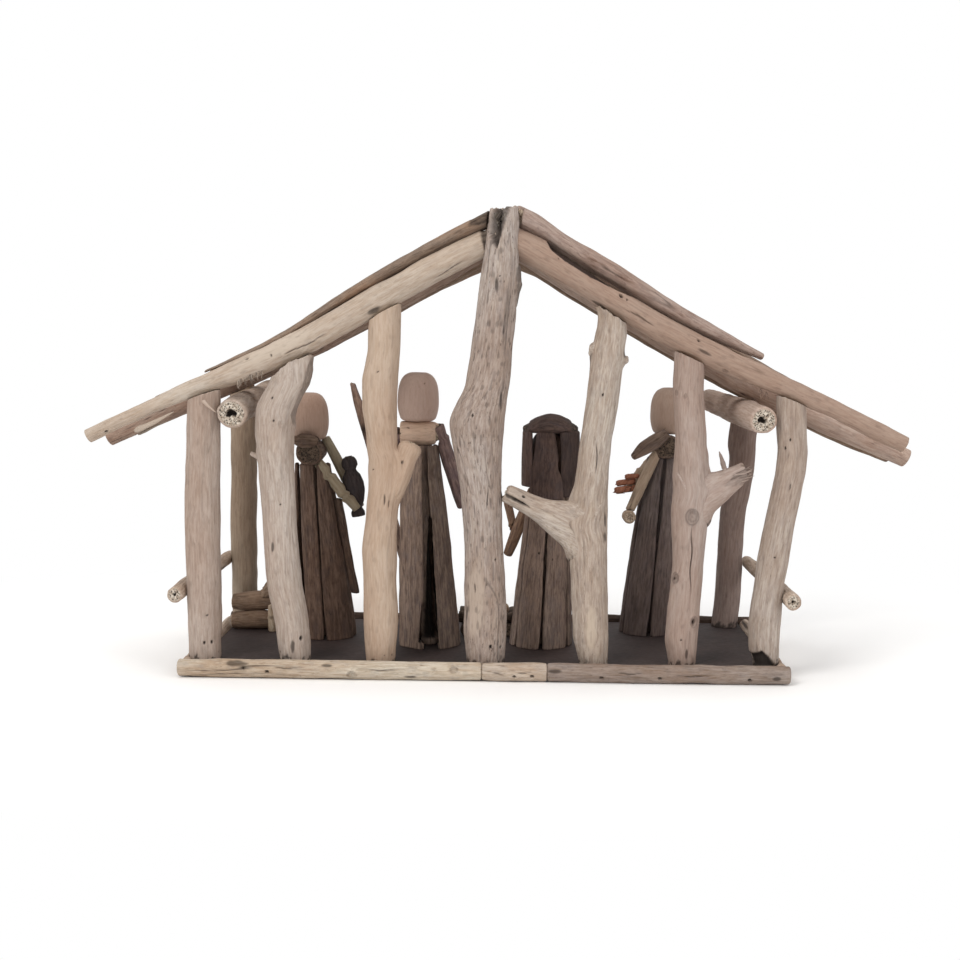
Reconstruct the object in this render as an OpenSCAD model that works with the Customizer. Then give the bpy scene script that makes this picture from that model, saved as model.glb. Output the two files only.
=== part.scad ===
// Driftwood nativity stable with its figures.
// X runs along the row of seven posts, Y from that row to the open side, Z up.
// The origin is the centre of the underside of the base.

/* [Base] */
// Width over the edging strips
base_w = 438; // [424:2:460]
// Depth over the edging strips
base_d = 196; // [188:2:216]
// Thickness of the painted board
board_t = 9; // [7:0.5:11]
// Depth of the edging strips
trim_w = 11; // [9:0.5:13]
// Height of the edging strips
trim_h = 14; // [12:0.5:17]

/* [Frame] */
// Distance from the near edge of the base to the middle of the seven posts
row_inset = 24; // [22:1:28]
// Distance from the far edge of the base to the middle of the two far posts
far_inset = 22; // [18:1:26]
// Height of the top of the king post
king_h = 337; // [332:1:345]
// Distance of the king post's foot to the right of the middle
king_x = 2; // [-2:1:6]
// How far the king post leans to the right
king_lean = 11.5; // [8:0.5:14]
// Thickness of the king post
king_d = 30; // [27:0.5:33]
// Foot of the first post, to the left of the middle
post_1_x = 203.5; // [201:0.5:206]
// Thickness of the first post
post_1_d = 25; // [23:0.5:27]
// Foot of the second post, to the left of the middle
post_2_x = 136.5; // [132:0.5:141]
// Thickness of the second post
post_2_d = 27; // [24:0.5:29]
// Foot of the third post, to the left of the middle
post_3_x = 74.5; // [70:0.5:78]
// Thickness of the third post
post_3_d = 24.5; // [22:0.5:27]
// Foot of the fifth post, to the right of the middle
post_5_x = 79; // [77:0.5:82]
// Thickness of the fifth post
post_5_d = 26; // [24:0.5:28]
// Foot of the sixth post, to the right of the middle
post_6_x = 144; // [141:0.5:147]
// Thickness of the sixth post
post_6_d = 23.5; // [21:0.5:26]
// Foot of the seventh post, to the right of the middle
post_7_x = 204; // [202:0.5:207]
// Thickness of the seventh post
post_7_d = 22; // [20:0.5:24]
// Foot of the far left post, to the left of the middle
far_left_x = 203; // [200:0.5:206]
// Foot of the far right post, to the right of the middle
far_right_x = 195; // [192:0.5:198]
// Thickness of the two far posts
far_post_d = 22; // [20:0.5:24]
// Height of the side rails
rail_h = 59; // [50:1:70]
// Thickness of the side rails
rail_d = 12.5; // [11:0.5:14]

/* [Roof] */
// Height at which the middles of the rafters meet
ridge_h = 317; // [313:1:320]
// Distance of the ridge to the right of the middle
ridge_x = 11; // [8:0.5:14]
// Reach of the left eave from the middle
left_reach = 287; // [270:1:300]
// Height of the near rafter at the left eave
left_eave_h = 172; // [168:1:177]
// Reach of the right eave from the middle
right_reach = 302; // [285:1:315]
// Height of the near rafter at the right eave
right_eave_h = 169; // [165:1:174]
// Thickness of the near rafters at the ridge
rafter_d = 21; // [19:0.5:23]
// Thickness of the far rafters
far_rafter_d = 19; // [17:0.5:21]
// How much higher the far rafters end at the eaves
far_rise = 7; // [4:0.5:10]
// Thickness of the roof poles
pole_d = 17; // [15:0.5:19]
// Thickness of the ridge pole
ridge_d = 18; // [16:0.5:20]
// Thickness of the eave beams
beam_d = 22; // [20:0.5:24]
// How far the eave beams lie below the line of the near rafters
beam_drop = 35; // [33:0.5:38]
// How much the left eave beam rises to the far side
beam_rise = 10; // [6:1:13]
// Width of the flat roof slats
slat_w = 28; // [24:1:32]
// Thickness of the flat roof slats
slat_t = 9; // [7:0.5:11]

/* [Figures] */
// Width of the figures' hems
hem_d = 48; // [44:1:52]
// Width of the figures' robes at the top
collar_d = 28; // [26:0.5:31]
// Thickness of the robe slats at the hem
robe_t = 7; // [6:0.5:8]
// Width of the egg-shaped heads
head_d = 31.5; // [28:0.5:34]
// Height of the egg-shaped heads
head_h = 42; // [38:0.5:44]
// Thickness of the arms
arm_d = 9; // [8:0.5:10]
// Height of the left gift bearer's robe
left_robe_h = 137; // [132:1:142]
// Height of the shepherd's robe
shepherd_robe_h = 154; // [146:1:157]
// Height of the mother's robe
mother_robe_h = 128; // [120:1:132]
// Height of the right gift bearer's robe
right_robe_h = 142; // [136:1:146]
// Length of the manger
manger_l = 45; // [40:1:48]
// Height of the manger
manger_h = 27; // [25:1:30]
// Length of the sheep
sheep_l = 38; // [36:1:40]

/* [Hidden] */

// Gap left between pieces that touch
seat_gap = 0.15;
// How deep one round stick beds into another
nest = 1.2;
// Overrun of cutting shapes
over = 2;
// Sides and rings of a thick stick, and of a thin one
stick_sides = 10;
stick_rings = 12;
thin_sides = 8;
thin_rings = 7;
// Unevenness of a stick's skin, as a share of its radius
bump_share = 0.025;

// Places that follow from the sizes above
row_y = row_inset - base_d / 2;
far_y = base_d / 2 - far_inset;
board_w = base_w - 2 * trim_w;
board_d = base_d - 2 * trim_w;
floor_z = board_t;

// Helpers: smooth curves through a few rows of shares
function unit(v) = v / norm(v);
function piece(rows, t) = max([0, for (i = [1 : len(rows) - 2]) if (rows[i][0] <= t) i]);
function rise(rows, i, c) = let (a = max(i - 1, 0), b = min(i + 1, len(rows) - 1))
    (rows[b][c] - rows[a][c]) / (rows[b][0] - rows[a][0]);
function smooth(rows, t, c) = let (
        i = piece(rows, t), p = rows[i], q = rows[i + 1],
        w = q[0] - p[0], f = (t - p[0]) / w)
    p[c] + (q[c] - p[c]) * f * f * (3 - 2 * f)
    + f * (1 - f) * (1 - f) * w * rise(rows, i, c)
    - f * f * (1 - f) * w * rise(rows, i + 1, c);
function bump(a, t, seed) =
    1 + bump_share * (sin(2 * a + 97 * seed + 310 * t) + sin(3 * a - 53 * seed + 560 * t));

// The middle line of a stick. Rows hold: place, sideways, facing and girth shares
function spine(from, to, size, rows, t, side, face) =
    from + (to - from) * t + side * size[0] * smooth(rows, t, 1) + face * size[1] * smooth(rows, t, 2);
function side_of(from, to) = unit(cross([0, 0, 1], to - from));
function face_of(from, to) = unit(cross(to - from, side_of(from, to)));

// A closed skin over rings of points
module loft(rings) {
    n = len(rings[0]);
    m = len(rings);
    points = [for (ring = rings) each ring, mean(rings[0]), mean(rings[m - 1])];
    faces = concat(
        [for (j = [0 : m - 2], k = [0 : n - 1]) [j * n + k, (j + 1) * n + k, (j + 1) * n + (k + 1) % n]],
        [for (j = [0 : m - 2], k = [0 : n - 1])
            [j * n + k, (j + 1) * n + (k + 1) % n, j * n + (k + 1) % n]],
        [for (k = [0 : n - 1]) [m * n, k, (k + 1) % n]],
        [for (k = [0 : n - 1]) [m * n + 1, (m - 1) * n + (k + 1) % n, (m - 1) * n + k]]);
    polyhedron(points, faces, convexity = 6);
}
function mean(ring) = [for (c = [0 : 2]) sum([for (p = ring) p[c]]) / len(ring)];
function sum(v, i = 0) = i < len(v) ? v[i] + sum(v, i + 1) : 0;

// A driftwood stick between two points, with the bends and swellings of its rows
module stick(from, to, size, rows, seed = 1, grow = 0, side = [], face = [], span = [0, 1],
    lift = 0, taper = [[0, 1], [1, 1]], sides = stick_sides, rings = stick_rings) {
    s = side == [] ? side_of(from, to) : side;
    f = face == [] ? face_of(from, to) : face;
    loft([for (j = [0 : rings - 1])
        let (
            u = j / (rings - 1),
            t = span[0] + (span[1] - span[0]) * u,
            girth = smooth(rows, t, 3) * lookup(u, taper),
            middle = spine(from, to, size, rows, t, s, f) + f * lift)
        [for (k = [0 : sides - 1])
            let (a = 360 * (k + 0.5) / sides, w = girth * bump(a, t, seed))
            middle + s * cos(a) * (size[0] / 2 * w + grow) + f * sin(a) * (size[1] / 2 * w + grow)]]);
}

// An upright stick, cut level at its foot
module upright(foot, lean, height, size, rows, seed = 1, grow = 0, angle = 0, sides = stick_sides,
    rings = stick_rings, taper = [[0, 1], [1, 1]])
    stick(foot, foot + [lean[0], lean[1], height], size, rows, seed, grow,
        side = [sin(angle), -cos(angle), 0], face = [cos(angle), sin(angle), 0], sides = sides,
        rings = rings, taper = taper);

// A half space, for cutting an end upright at the ridge
module beyond_ridge(hand)
    translate([ridge_x + hand * (base_w - seat_gap) / 2, 0, ridge_h])
        cube([base_w, base_w, base_w], center = true);

// Base: a board in a frame of edging strips
module trim_stick(from, to, seed, rows = trim_shares)
    intersection() {
        stick(from, to, [trim_w, trim_h], rows, seed);
        translate([-base_w, -base_w, 0]) cube([2 * base_w, 2 * base_w, 2 * trim_h]);
    }
trim_shares = [[0, 0, 0, 0.92], [0.2, 0.02, 0, 1], [0.5, -0.03, 0, 0.97], [0.8, 0.02, 0, 1],
    [1, 0, 0, 0.92]];
trim_joint_shares = [0.5, 0.606];
trim_z = trim_h / 2;
trim_y = board_d / 2 + trim_w / 2 + seat_gap;
trim_x = board_w / 2 + trim_w / 2 + seat_gap;
trim_end = base_w / 2;
trim_near = [for (s = trim_joint_shares) base_w * s - base_w / 2];

module base_board() color([0.26, 0.2, 0.19])
    difference() {
        translate([-board_w / 2, -board_d / 2, 0]) cube([board_w, board_d, board_t]);
        for (foot = nail_feet) nail_hole([foot[0], foot[1], 0]);
    }
module trim_near_left() color([0.78, 0.7, 0.58])
    trim_stick([-trim_end, -trim_y, trim_z], [trim_near[0] - seat_gap, -trim_y, trim_z], 1);
module trim_near_middle() color([0.72, 0.64, 0.53])
    trim_stick([trim_near[0], -trim_y, trim_z], [trim_near[1] - seat_gap, -trim_y, trim_z], 2);
module trim_near_right() color([0.69, 0.61, 0.52])
    trim_stick([trim_near[1], -trim_y, trim_z], [trim_end, -trim_y, trim_z], 3);
module trim_far() color([0.71, 0.62, 0.51])
    trim_stick([-trim_end, trim_y, trim_z], [trim_end, trim_y, trim_z], 4);
// The end strips are notched round the feet of the corner posts
module trim_left() color([0.66, 0.59, 0.51])
    difference() {
        trim_stick([-trim_x, -board_d / 2, trim_z], [-trim_x, board_d / 2, trim_z], 5);
        post_1_stick(seat_gap);
        far_left_stick(seat_gap);
    }
module trim_right() color([0.68, 0.6, 0.5])
    difference() {
        trim_stick([trim_x, -board_d / 2, trim_z], [trim_x, board_d / 2, trim_z], 6);
        post_7_stick(seat_gap);
        far_right_stick(seat_gap);
    }

// Near rafters: they butt the king post and bow down over the posts
left_rafter_shares = [[0, 0, 0, 0.95], [0.15, 0, -0.03, 0.95], [0.37, 0, -0.22, 1], [0.52, 0, -0.36, 0.94],
    [0.68, 0, -0.22, 0.76], [0.78, 0, -0.08, 0.55], [0.9, 0, -0.03, 0.48], [1, 0, 0, 0.48]];
right_rafter_shares = [[0, 0, 0, 1], [0.12, 0, 0, 1.04], [0.33, 0, -0.27, 0.86], [0.45, 0, -0.34, 0.92],
    [0.65, 0, -0.2, 0.8], [0.78, 0, -0.06, 0.62], [0.9, 0, -0.02, 0.64], [1, 0, 0, 0.62]];
near_ridge = [ridge_x, row_y, ridge_h];
near_left_end = [-left_reach, row_y, left_eave_h];
near_right_end = [right_reach, row_y, right_eave_h];
rafter_size = [rafter_d, rafter_d];
// Share of the rafter's radius at which a post's top is cut under it
seat_share = 0.93;

module rafter_stick(to, rows, seed, grow = 0) stick(near_ridge, to, rafter_size, rows, seed, grow);
module left_rafter_stick(grow = 0) rafter_stick(near_left_end, left_rafter_shares, 11, grow);
module right_rafter_stick(grow = 0) rafter_stick(near_right_end, right_rafter_shares, 12, grow);

// Everything above a rafter, for cutting the tops of the posts along its underside
module above(from, to, size, rows) {
    s = side_of(from, to);
    f = face_of(from, to);
    loft([for (j = [0 : stick_rings - 1])
        let (
            t = j / (stick_rings - 1),
            middle = spine(from, to, size, rows, t, s, f),
            low = -size[1] / 2 * seat_share * smooth(rows, t, 3))
        [middle - s * king_d + f * low, middle + s * king_d + f * low,
            middle + s * king_d + f * king_h, middle - s * king_d + f * king_h]]);
}
module under_near_rafters(left)
    difference() {
        children();
        if (left) {
            above(near_ridge, near_left_end, rafter_size, left_rafter_shares);
            left_rafter_stick(seat_gap);
        } else {
            above(near_ridge, near_right_end, rafter_size, right_rafter_shares);
            right_rafter_stick(seat_gap);
        }
    }
function line_h(x, from, to) = from[2] + (to[2] - from[2]) * (x - from[0]) / (to[0] - from[0]);

module near_rafter_left() color([0.77, 0.68, 0.57])
    difference() {
        left_rafter_stick();
        king_stick(seat_gap);
    }
module near_rafter_right() color([0.73, 0.62, 0.51])
    difference() {
        right_rafter_stick();
        king_stick(seat_gap);
    }

// Posts. Limb rows hold: height share of the post, then reach, depth, rise, thickness and tip shares
post_1_shares = [[0, 0, 0, 1], [0.25, -0.02, 0.02, 1.03], [0.55, -0.06, -0.03, 1.02],
    [0.8, -0.04, 0.02, 0.99], [1, 0, 0, 0.98]];
post_2_shares = [[0, 0, 0, 0.87], [0.12, -0.14, 0, 0.92], [0.25, -0.4, 0, 0.95], [0.5, -0.6, 0, 0.94],
    [0.67, -0.74, 0, 1.05], [0.75, -0.73, 0, 1.22], [0.84, -0.41, 0, 1.25], [0.9, -0.13, 0, 1.05],
    [1, 0.08, 0, 1.02]];
post_3_shares = [[0, 0, 0, 0.84], [0.05, 0, 0, 0.99], [0.13, 0, 0, 1.06], [0.22, -0.05, 0, 1],
    [0.32, -0.08, 0, 1.08], [0.41, 0, 0, 0.95], [0.5, 0.04, 0, 1], [0.63, -0.03, 0, 0.97],
    [0.74, -0.13, 0, 1.13], [0.84, 0, 0, 0.97], [1, 0, 0, 1.04]];
king_shares = [[0, 0, 0, 0.94], [0.05, -0.05, 0, 1.07], [0.14, -0.06, 0, 1.06], [0.27, -0.17, 0, 0.99],
    [0.38, -0.27, 0, 1.03], [0.46, -0.39, 0, 1.17], [0.53, -0.48, 0, 1.42], [0.6, -0.26, 0, 1.12],
    [0.66, -0.18, 0, 1], [0.8, -0.08, 0, 0.97], [0.88, -0.04, 0, 0.86], [1, 0, 0, 0.7]];
post_5_shares = [[0, 0.05, 0, 0.82], [0.04, -0.04, 0, 1.03], [0.15, -0.14, 0, 1.05], [0.26, -0.23, 0, 1.06],
    [0.35, -0.33, 0, 1.14], [0.43, -0.33, 0, 1.03], [0.5, -0.31, 0, 0.91], [0.61, -0.26, 0, 0.88],
    [0.72, -0.14, 0, 0.88], [0.85, -0.08, 0, 0.94], [0.92, 0, 0, 0.84], [1, 0, 0, 0.84]];
post_6_shares = [[0, 0, 0, 0.86], [0.08, -0.04, 0, 1.04], [0.2, 0.04, 0, 1], [0.3, 0.12, 0, 0.94],
    [0.46, 0.15, 0, 1.14], [0.58, 0.12, 0, 1.05], [0.7, 0.1, 0, 0.97], [0.8, 0.02, 0, 0.96],
    [1, 0, 0, 0.95]];
post_7_shares = [[0, 0, 0, 0.85], [0.1, -0.13, 0, 1.07], [0.24, -0.15, 0, 1.01], [0.39, -0.06, 0, 1.03],
    [0.53, 0.06, 0, 1], [0.63, 0.17, 0, 1], [0.74, 0.27, 0, 1], [0.85, 0.14, 0, 1], [1, 0, 0, 0.95]];
far_left_shares = [[0, 0, 0, 1], [0.3, -0.04, 0.05, 1.03], [0.65, 0.04, -0.04, 0.98], [1, 0, 0, 0.96]];
far_right_shares = [[0, 0, 0, 1.02], [0.12, 0, 0, 1], [0.27, -0.08, 0, 0.97], [0.43, -0.18, 0, 0.98],
    [0.59, -0.04, 0, 0.97], [0.74, -0.06, 0, 0.94], [1, 0, 0, 0.8]];
post_2_limb_shares = [[0.6, -0.72, 0, 0.28, 0.3, 0.4]];
post_3_limb_shares = [[0.42, 0.72, -0.05, 1.6, 0.85, 0.78]];
king_limb_shares = [[0.82, 0.52, -0.1, 0.15, 0.55, 0.45]];
post_5_limb_shares = [[0.37, -2.32, -0.12, 1.02, 0.84, 0.6], [0.83, 0.6, 0, -0.06, 0.36, 0.6],
    [0.85, -0.54, -0.1, 0.02, 0.4, 0.5]];
post_6_limb_shares = [[0.505, 1.72, -0.05, 0.92, 0.76, 0.72]];
far_right_limb_shares = [[0.62, -1.25, 0, 3.35, 0.48, 0.62]];
// Lean of each post's top, as a share of its thickness
post_1_lean_share = 0.08;
post_2_lean_share = 0.32;
post_3_lean_share = 0.11;
post_5_lean_share = 0.48;
post_6_lean_share = 0.04;
post_7_lean_share = 0.61;
far_left_lean_share = -0.07;
far_right_lean_share = 0.88;

module limb(foot, lean, height, d, rows, row, seed, grow) {
    root = spine(foot, foot + [lean, 0, height], [d, d], rows, row[0], [1, 0, 0], [0, 1, 0]);
    tip = root + [row[1], row[2], row[3]] * d;
    stick(root, tip, [d * row[4], d * row[4]],
        [[0, 0, 0, 1], [0.5, 0, -0.06, (1 + row[5]) / 2], [1, 0, 0, row[5]]],
        seed, grow, sides = thin_sides, rings = thin_rings);
}
module post(foot, lean, height, d, rows, limbs, seed, grow = 0) {
    upright(foot, [lean, 0], height, [d, d], rows, seed, grow, angle = 90, rings = stick_rings + 2);
    for (row = limbs) limb(foot, lean, height, d, rows, row, seed, grow);
}
module near_post(x, lean_share, end, d, rows, limbs, seed, grow = 0) {
    lean = lean_share * d;
    post([x, row_y, floor_z], lean, line_h(x + lean, near_ridge, end) - floor_z, d, rows, limbs, seed,
        grow);
}
module post_1_stick(grow = 0)
    near_post(-post_1_x, post_1_lean_share, near_left_end, post_1_d, post_1_shares, [], 21, grow);
module post_7_stick(grow = 0)
    near_post(post_7_x, post_7_lean_share, near_right_end, post_7_d, post_7_shares, [], 27, grow);
module king_stick(grow = 0)
    post([king_x, row_y, floor_z], king_lean, king_h - floor_z, king_d, king_shares, king_limb_shares, 24,
        grow);

module post_1() color([0.73, 0.65, 0.56])
    difference() {
        under_near_rafters(true) post_1_stick();
        left_beam_stick(seat_gap);
        nail_hole_at(nail_feet[0]);
    }
module post_2() color([0.72, 0.66, 0.62])
    difference() {
        under_near_rafters(true)
            near_post(-post_2_x, post_2_lean_share, near_left_end, post_2_d, post_2_shares,
                post_2_limb_shares, 22);
        nail_hole_at(nail_feet[1]);
    }
module post_3() color([0.8, 0.7, 0.56])
    difference() {
        under_near_rafters(true)
            near_post(-post_3_x, post_3_lean_share, near_left_end, post_3_d, post_3_shares,
                post_3_limb_shares, 23);
        nail_hole_at(nail_feet[2]);
    }
// The king post has a rotten hollow running down from its top
hollow_d_share = 0.44;
hollow_l_share = 1.1;
// Sideways and facing place of the hollow's mouth
hollow_shares = [-0.12, -0.34];
hollow_tilt = 8;
hollow_turn = 4;
module king_post() color([0.68, 0.61, 0.57])
    difference() {
        king_stick();
        translate([king_x + king_lean + hollow_shares[0] * king_d, row_y + hollow_shares[1] * king_d,
                king_h + over])
            rotate([180 + hollow_tilt, hollow_turn, 0])
                cylinder(h = king_d * hollow_l_share, d1 = king_d * hollow_d_share, d2 = seat_gap);
        nail_hole_at(nail_feet[3]);
    }
module post_5() color([0.7, 0.63, 0.55])
    difference() {
        under_near_rafters(false)
            near_post(post_5_x, post_5_lean_share, near_right_end, post_5_d, post_5_shares,
                post_5_limb_shares, 25);
        nail_hole_at(nail_feet[4]);
    }
// A twig stands on the branch of the sixth post
twig_shares = [1, -0.05, 0.7];
twig_end_shares = [0.75, -0.05, 1.54];
twig_d_share = 0.16;
module post_6() color([0.74, 0.63, 0.54])
    difference() {
        under_near_rafters(false) {
            near_post(post_6_x, post_6_lean_share, near_right_end, post_6_d, post_6_shares,
                post_6_limb_shares, 26);
            post_6_twig();
        }
        nail_hole_at(nail_feet[5]);
    }
module post_6_twig() {
    height = line_h(post_6_x, near_ridge, near_right_end) - floor_z;
    root = spine([post_6_x, row_y, floor_z], [post_6_x, row_y, floor_z + height], [post_6_d, post_6_d],
        post_6_shares, post_6_limb_shares[0][0], [1, 0, 0], [0, 1, 0]);
    stick(root + twig_shares * post_6_d, root + twig_end_shares * post_6_d,
        [post_6_d * twig_d_share, post_6_d * twig_d_share], plain_shares, 61, sides = thin_sides,
        rings = 3);
}
plain_shares = [[0, 0, 0, 1], [0.5, 0, 0, 1], [1, 0, 0, 0.9]];
module post_7() color([0.7, 0.62, 0.54])
    difference() {
        under_near_rafters(false) post_7_stick();
        right_beam_stick(seat_gap);
        nail_hole_at(nail_feet[6]);
    }

// Far posts and far rafters
far_ridge = [ridge_x, far_y, ridge_h];
far_left_end = [-left_reach, far_y, left_eave_h + far_rise];
far_right_end = [right_reach, far_y, right_eave_h + far_rise];
far_size = [far_rafter_d, far_rafter_d];
far_rafter_shares = [[0, 0, 0, 1], [0.3, 0.05, 0, 0.98], [0.65, -0.06, 0, 0.9], [1, 0, 0, 0.66]];
function far_start(end) = far_ridge - unit(end - far_ridge) * far_rafter_d / 2;
module far_rafter_stick(end, seed, grow = 0)
    stick(far_start(end), end, far_size, far_rafter_shares, seed, grow);
module far_rafter_left() color([0.6, 0.52, 0.44])
    difference() {
        far_rafter_stick(far_left_end, 13);
        beyond_ridge(1);
        ridge_stick(seat_gap);
    }
module far_rafter_right() color([0.58, 0.5, 0.42])
    difference() {
        far_rafter_stick(far_right_end, 14);
        beyond_ridge(-1);
        ridge_stick(seat_gap);
    }
module far_post(x, lean_share, end, rows, limbs, seed, grow = 0) {
    lean = lean_share * far_post_d;
    post([x, far_y, floor_z], lean, line_h(x + lean, far_ridge, end) - floor_z, far_post_d, rows, limbs,
        seed, grow);
}
module far_left_stick(grow = 0)
    far_post(-far_left_x, far_left_lean_share, far_left_end, far_left_shares, [], 28, grow);
module far_right_stick(grow = 0)
    far_post(far_right_x, far_right_lean_share, far_right_end, far_right_shares, far_right_limb_shares, 29,
        grow);
module under_far_rafter(end, seed)
    difference() {
        children();
        above(far_start(end), end, far_size, far_rafter_shares);
        far_rafter_stick(end, seed, seat_gap);
    }
module far_post_left() color([0.55, 0.47, 0.39])
    difference() {
        under_far_rafter(far_left_end, 13) far_left_stick();
        left_beam_stick(seat_gap);
        nail_hole_at(nail_feet[7]);
    }
module far_post_right() color([0.5, 0.42, 0.37])
    difference() {
        under_far_rafter(far_right_end, 14) far_right_stick();
        nail_hole_at(nail_feet[8]);
    }

// Eave beams lie inside the corner posts. The right one ends against the far post's prong
beam_shares = [[0, 0, 0, 0.98], [0.25, 0.05, 0.03, 1.02], [0.6, -0.04, -0.02, 0.98], [1, 0, 0, 0.94]];
beam_overhang = 14;
beam_far_overhang = 10;
beam_inset_share = 0.82;
left_beam_near_x = -post_1_x + post_1_lean_share * post_1_d + (post_1_d + beam_d) / 2 - nest;
left_beam_far_x = -far_left_x + far_left_lean_share * far_post_d + (far_post_d + beam_d) / 2 - nest;
right_beam_near_x = post_7_x + post_7_lean_share * post_7_d - (post_7_d + beam_d) / 2 + nest;
left_beam_h = line_h(left_beam_near_x, near_ridge, near_left_end) - beam_drop;
right_beam_h = line_h(right_beam_near_x, near_ridge, near_right_end) - beam_drop;
left_beam_from = [left_beam_near_x, row_y - beam_overhang, left_beam_h];
left_beam_to = [left_beam_far_x, far_y + beam_far_overhang, left_beam_h + beam_rise];
right_beam_from = [right_beam_near_x, row_y - beam_overhang, right_beam_h];
right_beam_to = [right_beam_near_x - beam_d * beam_inset_share, far_y,
    right_beam_h + beam_rise * beam_inset_share];
beam_size = [beam_d, beam_d];
module left_beam_stick(grow = 0) stick(left_beam_from, left_beam_to, beam_size, beam_shares, 15, grow);
module right_beam_stick(grow = 0)
    stick(right_beam_from, right_beam_to, beam_size, beam_shares, 16, grow, taper = [[0, 0.93], [1, 0.93]]);
module eave_beam_left() color([0.62, 0.54, 0.46]) left_beam_stick();
module eave_beam_right() color([0.66, 0.59, 0.52])
    difference() {
        right_beam_stick();
        far_right_stick(seat_gap);
    }
function beam_at(from, to, y) = from + (to - from) * (y - from[1]) / (to[1] - from[1]);

// Side rails lie outside the corner posts
rail_overhang = 15;
rail_shares = [[0, 0, 0, 1], [0.3, 0.03, 0.06, 0.98], [0.7, -0.03, -0.05, 0.92], [1, 0, 0, 0.85]];
// Sideways place of a post's middle at the rail, as a share of its thickness
left_rail_share = -0.02;
right_rail_share = 0.02;
far_right_rail_share = 0.16;
rail_rise = 2;
module rail_stick(near_x, far_x, seed)
    stick([near_x, row_y - rail_overhang, rail_h], [far_x, far_y + rail_overhang, rail_h + rail_rise],
        [rail_d, rail_d], rail_shares, seed, sides = thin_sides, rings = thin_rings);
module side_rail_left() color([0.68, 0.6, 0.51])
    difference() {
        rail_stick(-post_1_x + left_rail_share * post_1_d - (post_1_d + rail_d) / 2 + nest,
            -far_left_x - (far_post_d + rail_d) / 2 + nest, 17);
        post_1_stick(seat_gap);
        far_left_stick(seat_gap);
    }
module side_rail_right() color([0.68, 0.6, 0.51])
    difference() {
        rail_stick(post_7_x + right_rail_share * post_7_d + (post_7_d + rail_d) / 2 - nest,
            far_right_x + far_right_rail_share * far_post_d + (far_post_d + rail_d) / 2 - nest, 18);
        post_7_stick(seat_gap);
        far_right_stick(seat_gap);
    }

// Ridge pole from the king post to the far rafters
ridge_shares = [[0, 0, 0, 1], [0.3, 0.03, 0.02, 1], [0.7, -0.03, -0.02, 0.98], [1, 0, 0, 0.92]];
ridge_z = ridge_h - (pole_d + ridge_d) / 2 + nest;
ridge_overhang = 16;
module ridge_stick(grow = 0)
    stick([ridge_x, row_y, ridge_z], [ridge_x, far_y + ridge_overhang, ridge_z], [ridge_d, ridge_d],
        ridge_shares, 19, grow);
module ridge_pole() color([0.58, 0.5, 0.43])
    difference() {
        ridge_stick();
        king_stick(seat_gap);
    }

// Roof poles run from the ridge pole over the eave beams, and flat slats lie along them
pole_1_step = 36;
pole_2_step = 84;
pole_places = [row_y + pole_1_step, row_y + pole_2_step];
pole_shares = [[0, 0, 0, 0.96], [0.3, 0, -0.28, 1], [0.62, 0, -0.35, 0.96], [0.82, 0, -0.16, 0.84],
    [1, 0, 0, 0.66]];
// The right poles turn up at the eave
right_pole_shares = [[0, 0, 0, 0.96], [0.3, 0, -0.28, 1], [0.62, 0, -0.35, 0.96], [0.82, 0, -0.12, 0.86],
    [1, 0, 0.28, 0.8]];
function pole_rows(hand) = hand < 0 ? pole_shares : right_pole_shares;
pole_sag_share = 0.35;
// Reach of the poles as a share of the reach of the rafters, left and right
pole_reach_shares = [0.985, 1.02];
function beam_under(hand, y) = hand < 0 ? beam_at(left_beam_from, left_beam_to, y)
    : beam_at(right_beam_from, right_beam_to, y);
function pole_pitch(hand, y) = let (
        b = beam_under(hand, y),
        run = hand * (b[0] - ridge_x),
        drop = ridge_h - b[2],
        room = (beam_d + pole_d) / 2 - nest + pole_sag_share * pole_d)
    atan2(drop, run) - asin(room / norm([run, drop]));
function pole_end(hand, y, reach) =
    [ridge_x + hand * reach, y, ridge_h - reach * tan(pole_pitch(hand, y))];
function eave_run(hand) = hand < 0 ? left_reach + ridge_x : right_reach - ridge_x;
function pole_reach(hand) = eave_run(hand) * pole_reach_shares[hand < 0 ? 0 : 1];
function pole_start(hand, y) = let (end = pole_end(hand, y, eave_run(hand)))
    [ridge_x, y, ridge_h] - unit(end - [ridge_x, y, ridge_h]) * pole_d / 2;
module pole_stick(hand, y, seed, grow = 0)
    stick(pole_start(hand, y), pole_end(hand, y, pole_reach(hand)), [pole_d, pole_d], pole_rows(hand),
        seed, grow);
module roof_pole(hand, y, seed)
    difference() {
        pole_stick(hand, y, seed);
        beyond_ridge(-hand);
        ridge_stick(seat_gap);
        if (hand < 0) left_beam_stick(seat_gap);
        if (hand > 0) right_beam_stick(seat_gap);
    }
module roof_pole_left_1() color([0.47, 0.4, 0.33]) roof_pole(-1, pole_places[0], 31);
module roof_pole_left_2() color([0.5, 0.43, 0.36]) roof_pole(-1, pole_places[1], 32);
module roof_pole_right_1() color([0.49, 0.42, 0.35]) roof_pole(1, pole_places[0], 33);
module roof_pole_right_2() color([0.46, 0.39, 0.33]) roof_pole(1, pole_places[1], 34);

slat_taper = [[0, 1], [0.5, 0.96], [0.8, 0.85], [1, 0.5]];
slat_rings = 10;
// Sideways shift of each pair of slats on its carrier, as a share of the slat's width
near_shift_share = 0.3;
pole_shift_share = -0.3;
far_shift_share = -0.28;
slat_end_shares = [0.74, 0.9, 0.86, 0.63, 0.8, 0.93];
function slat_rows(rows, d) = [for (row = rows) [row[0], row[1], row[2] * d / slat_t, 1]];
function slat_lift(d) = (d + slat_t) / 2 - 2 * nest;
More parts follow.
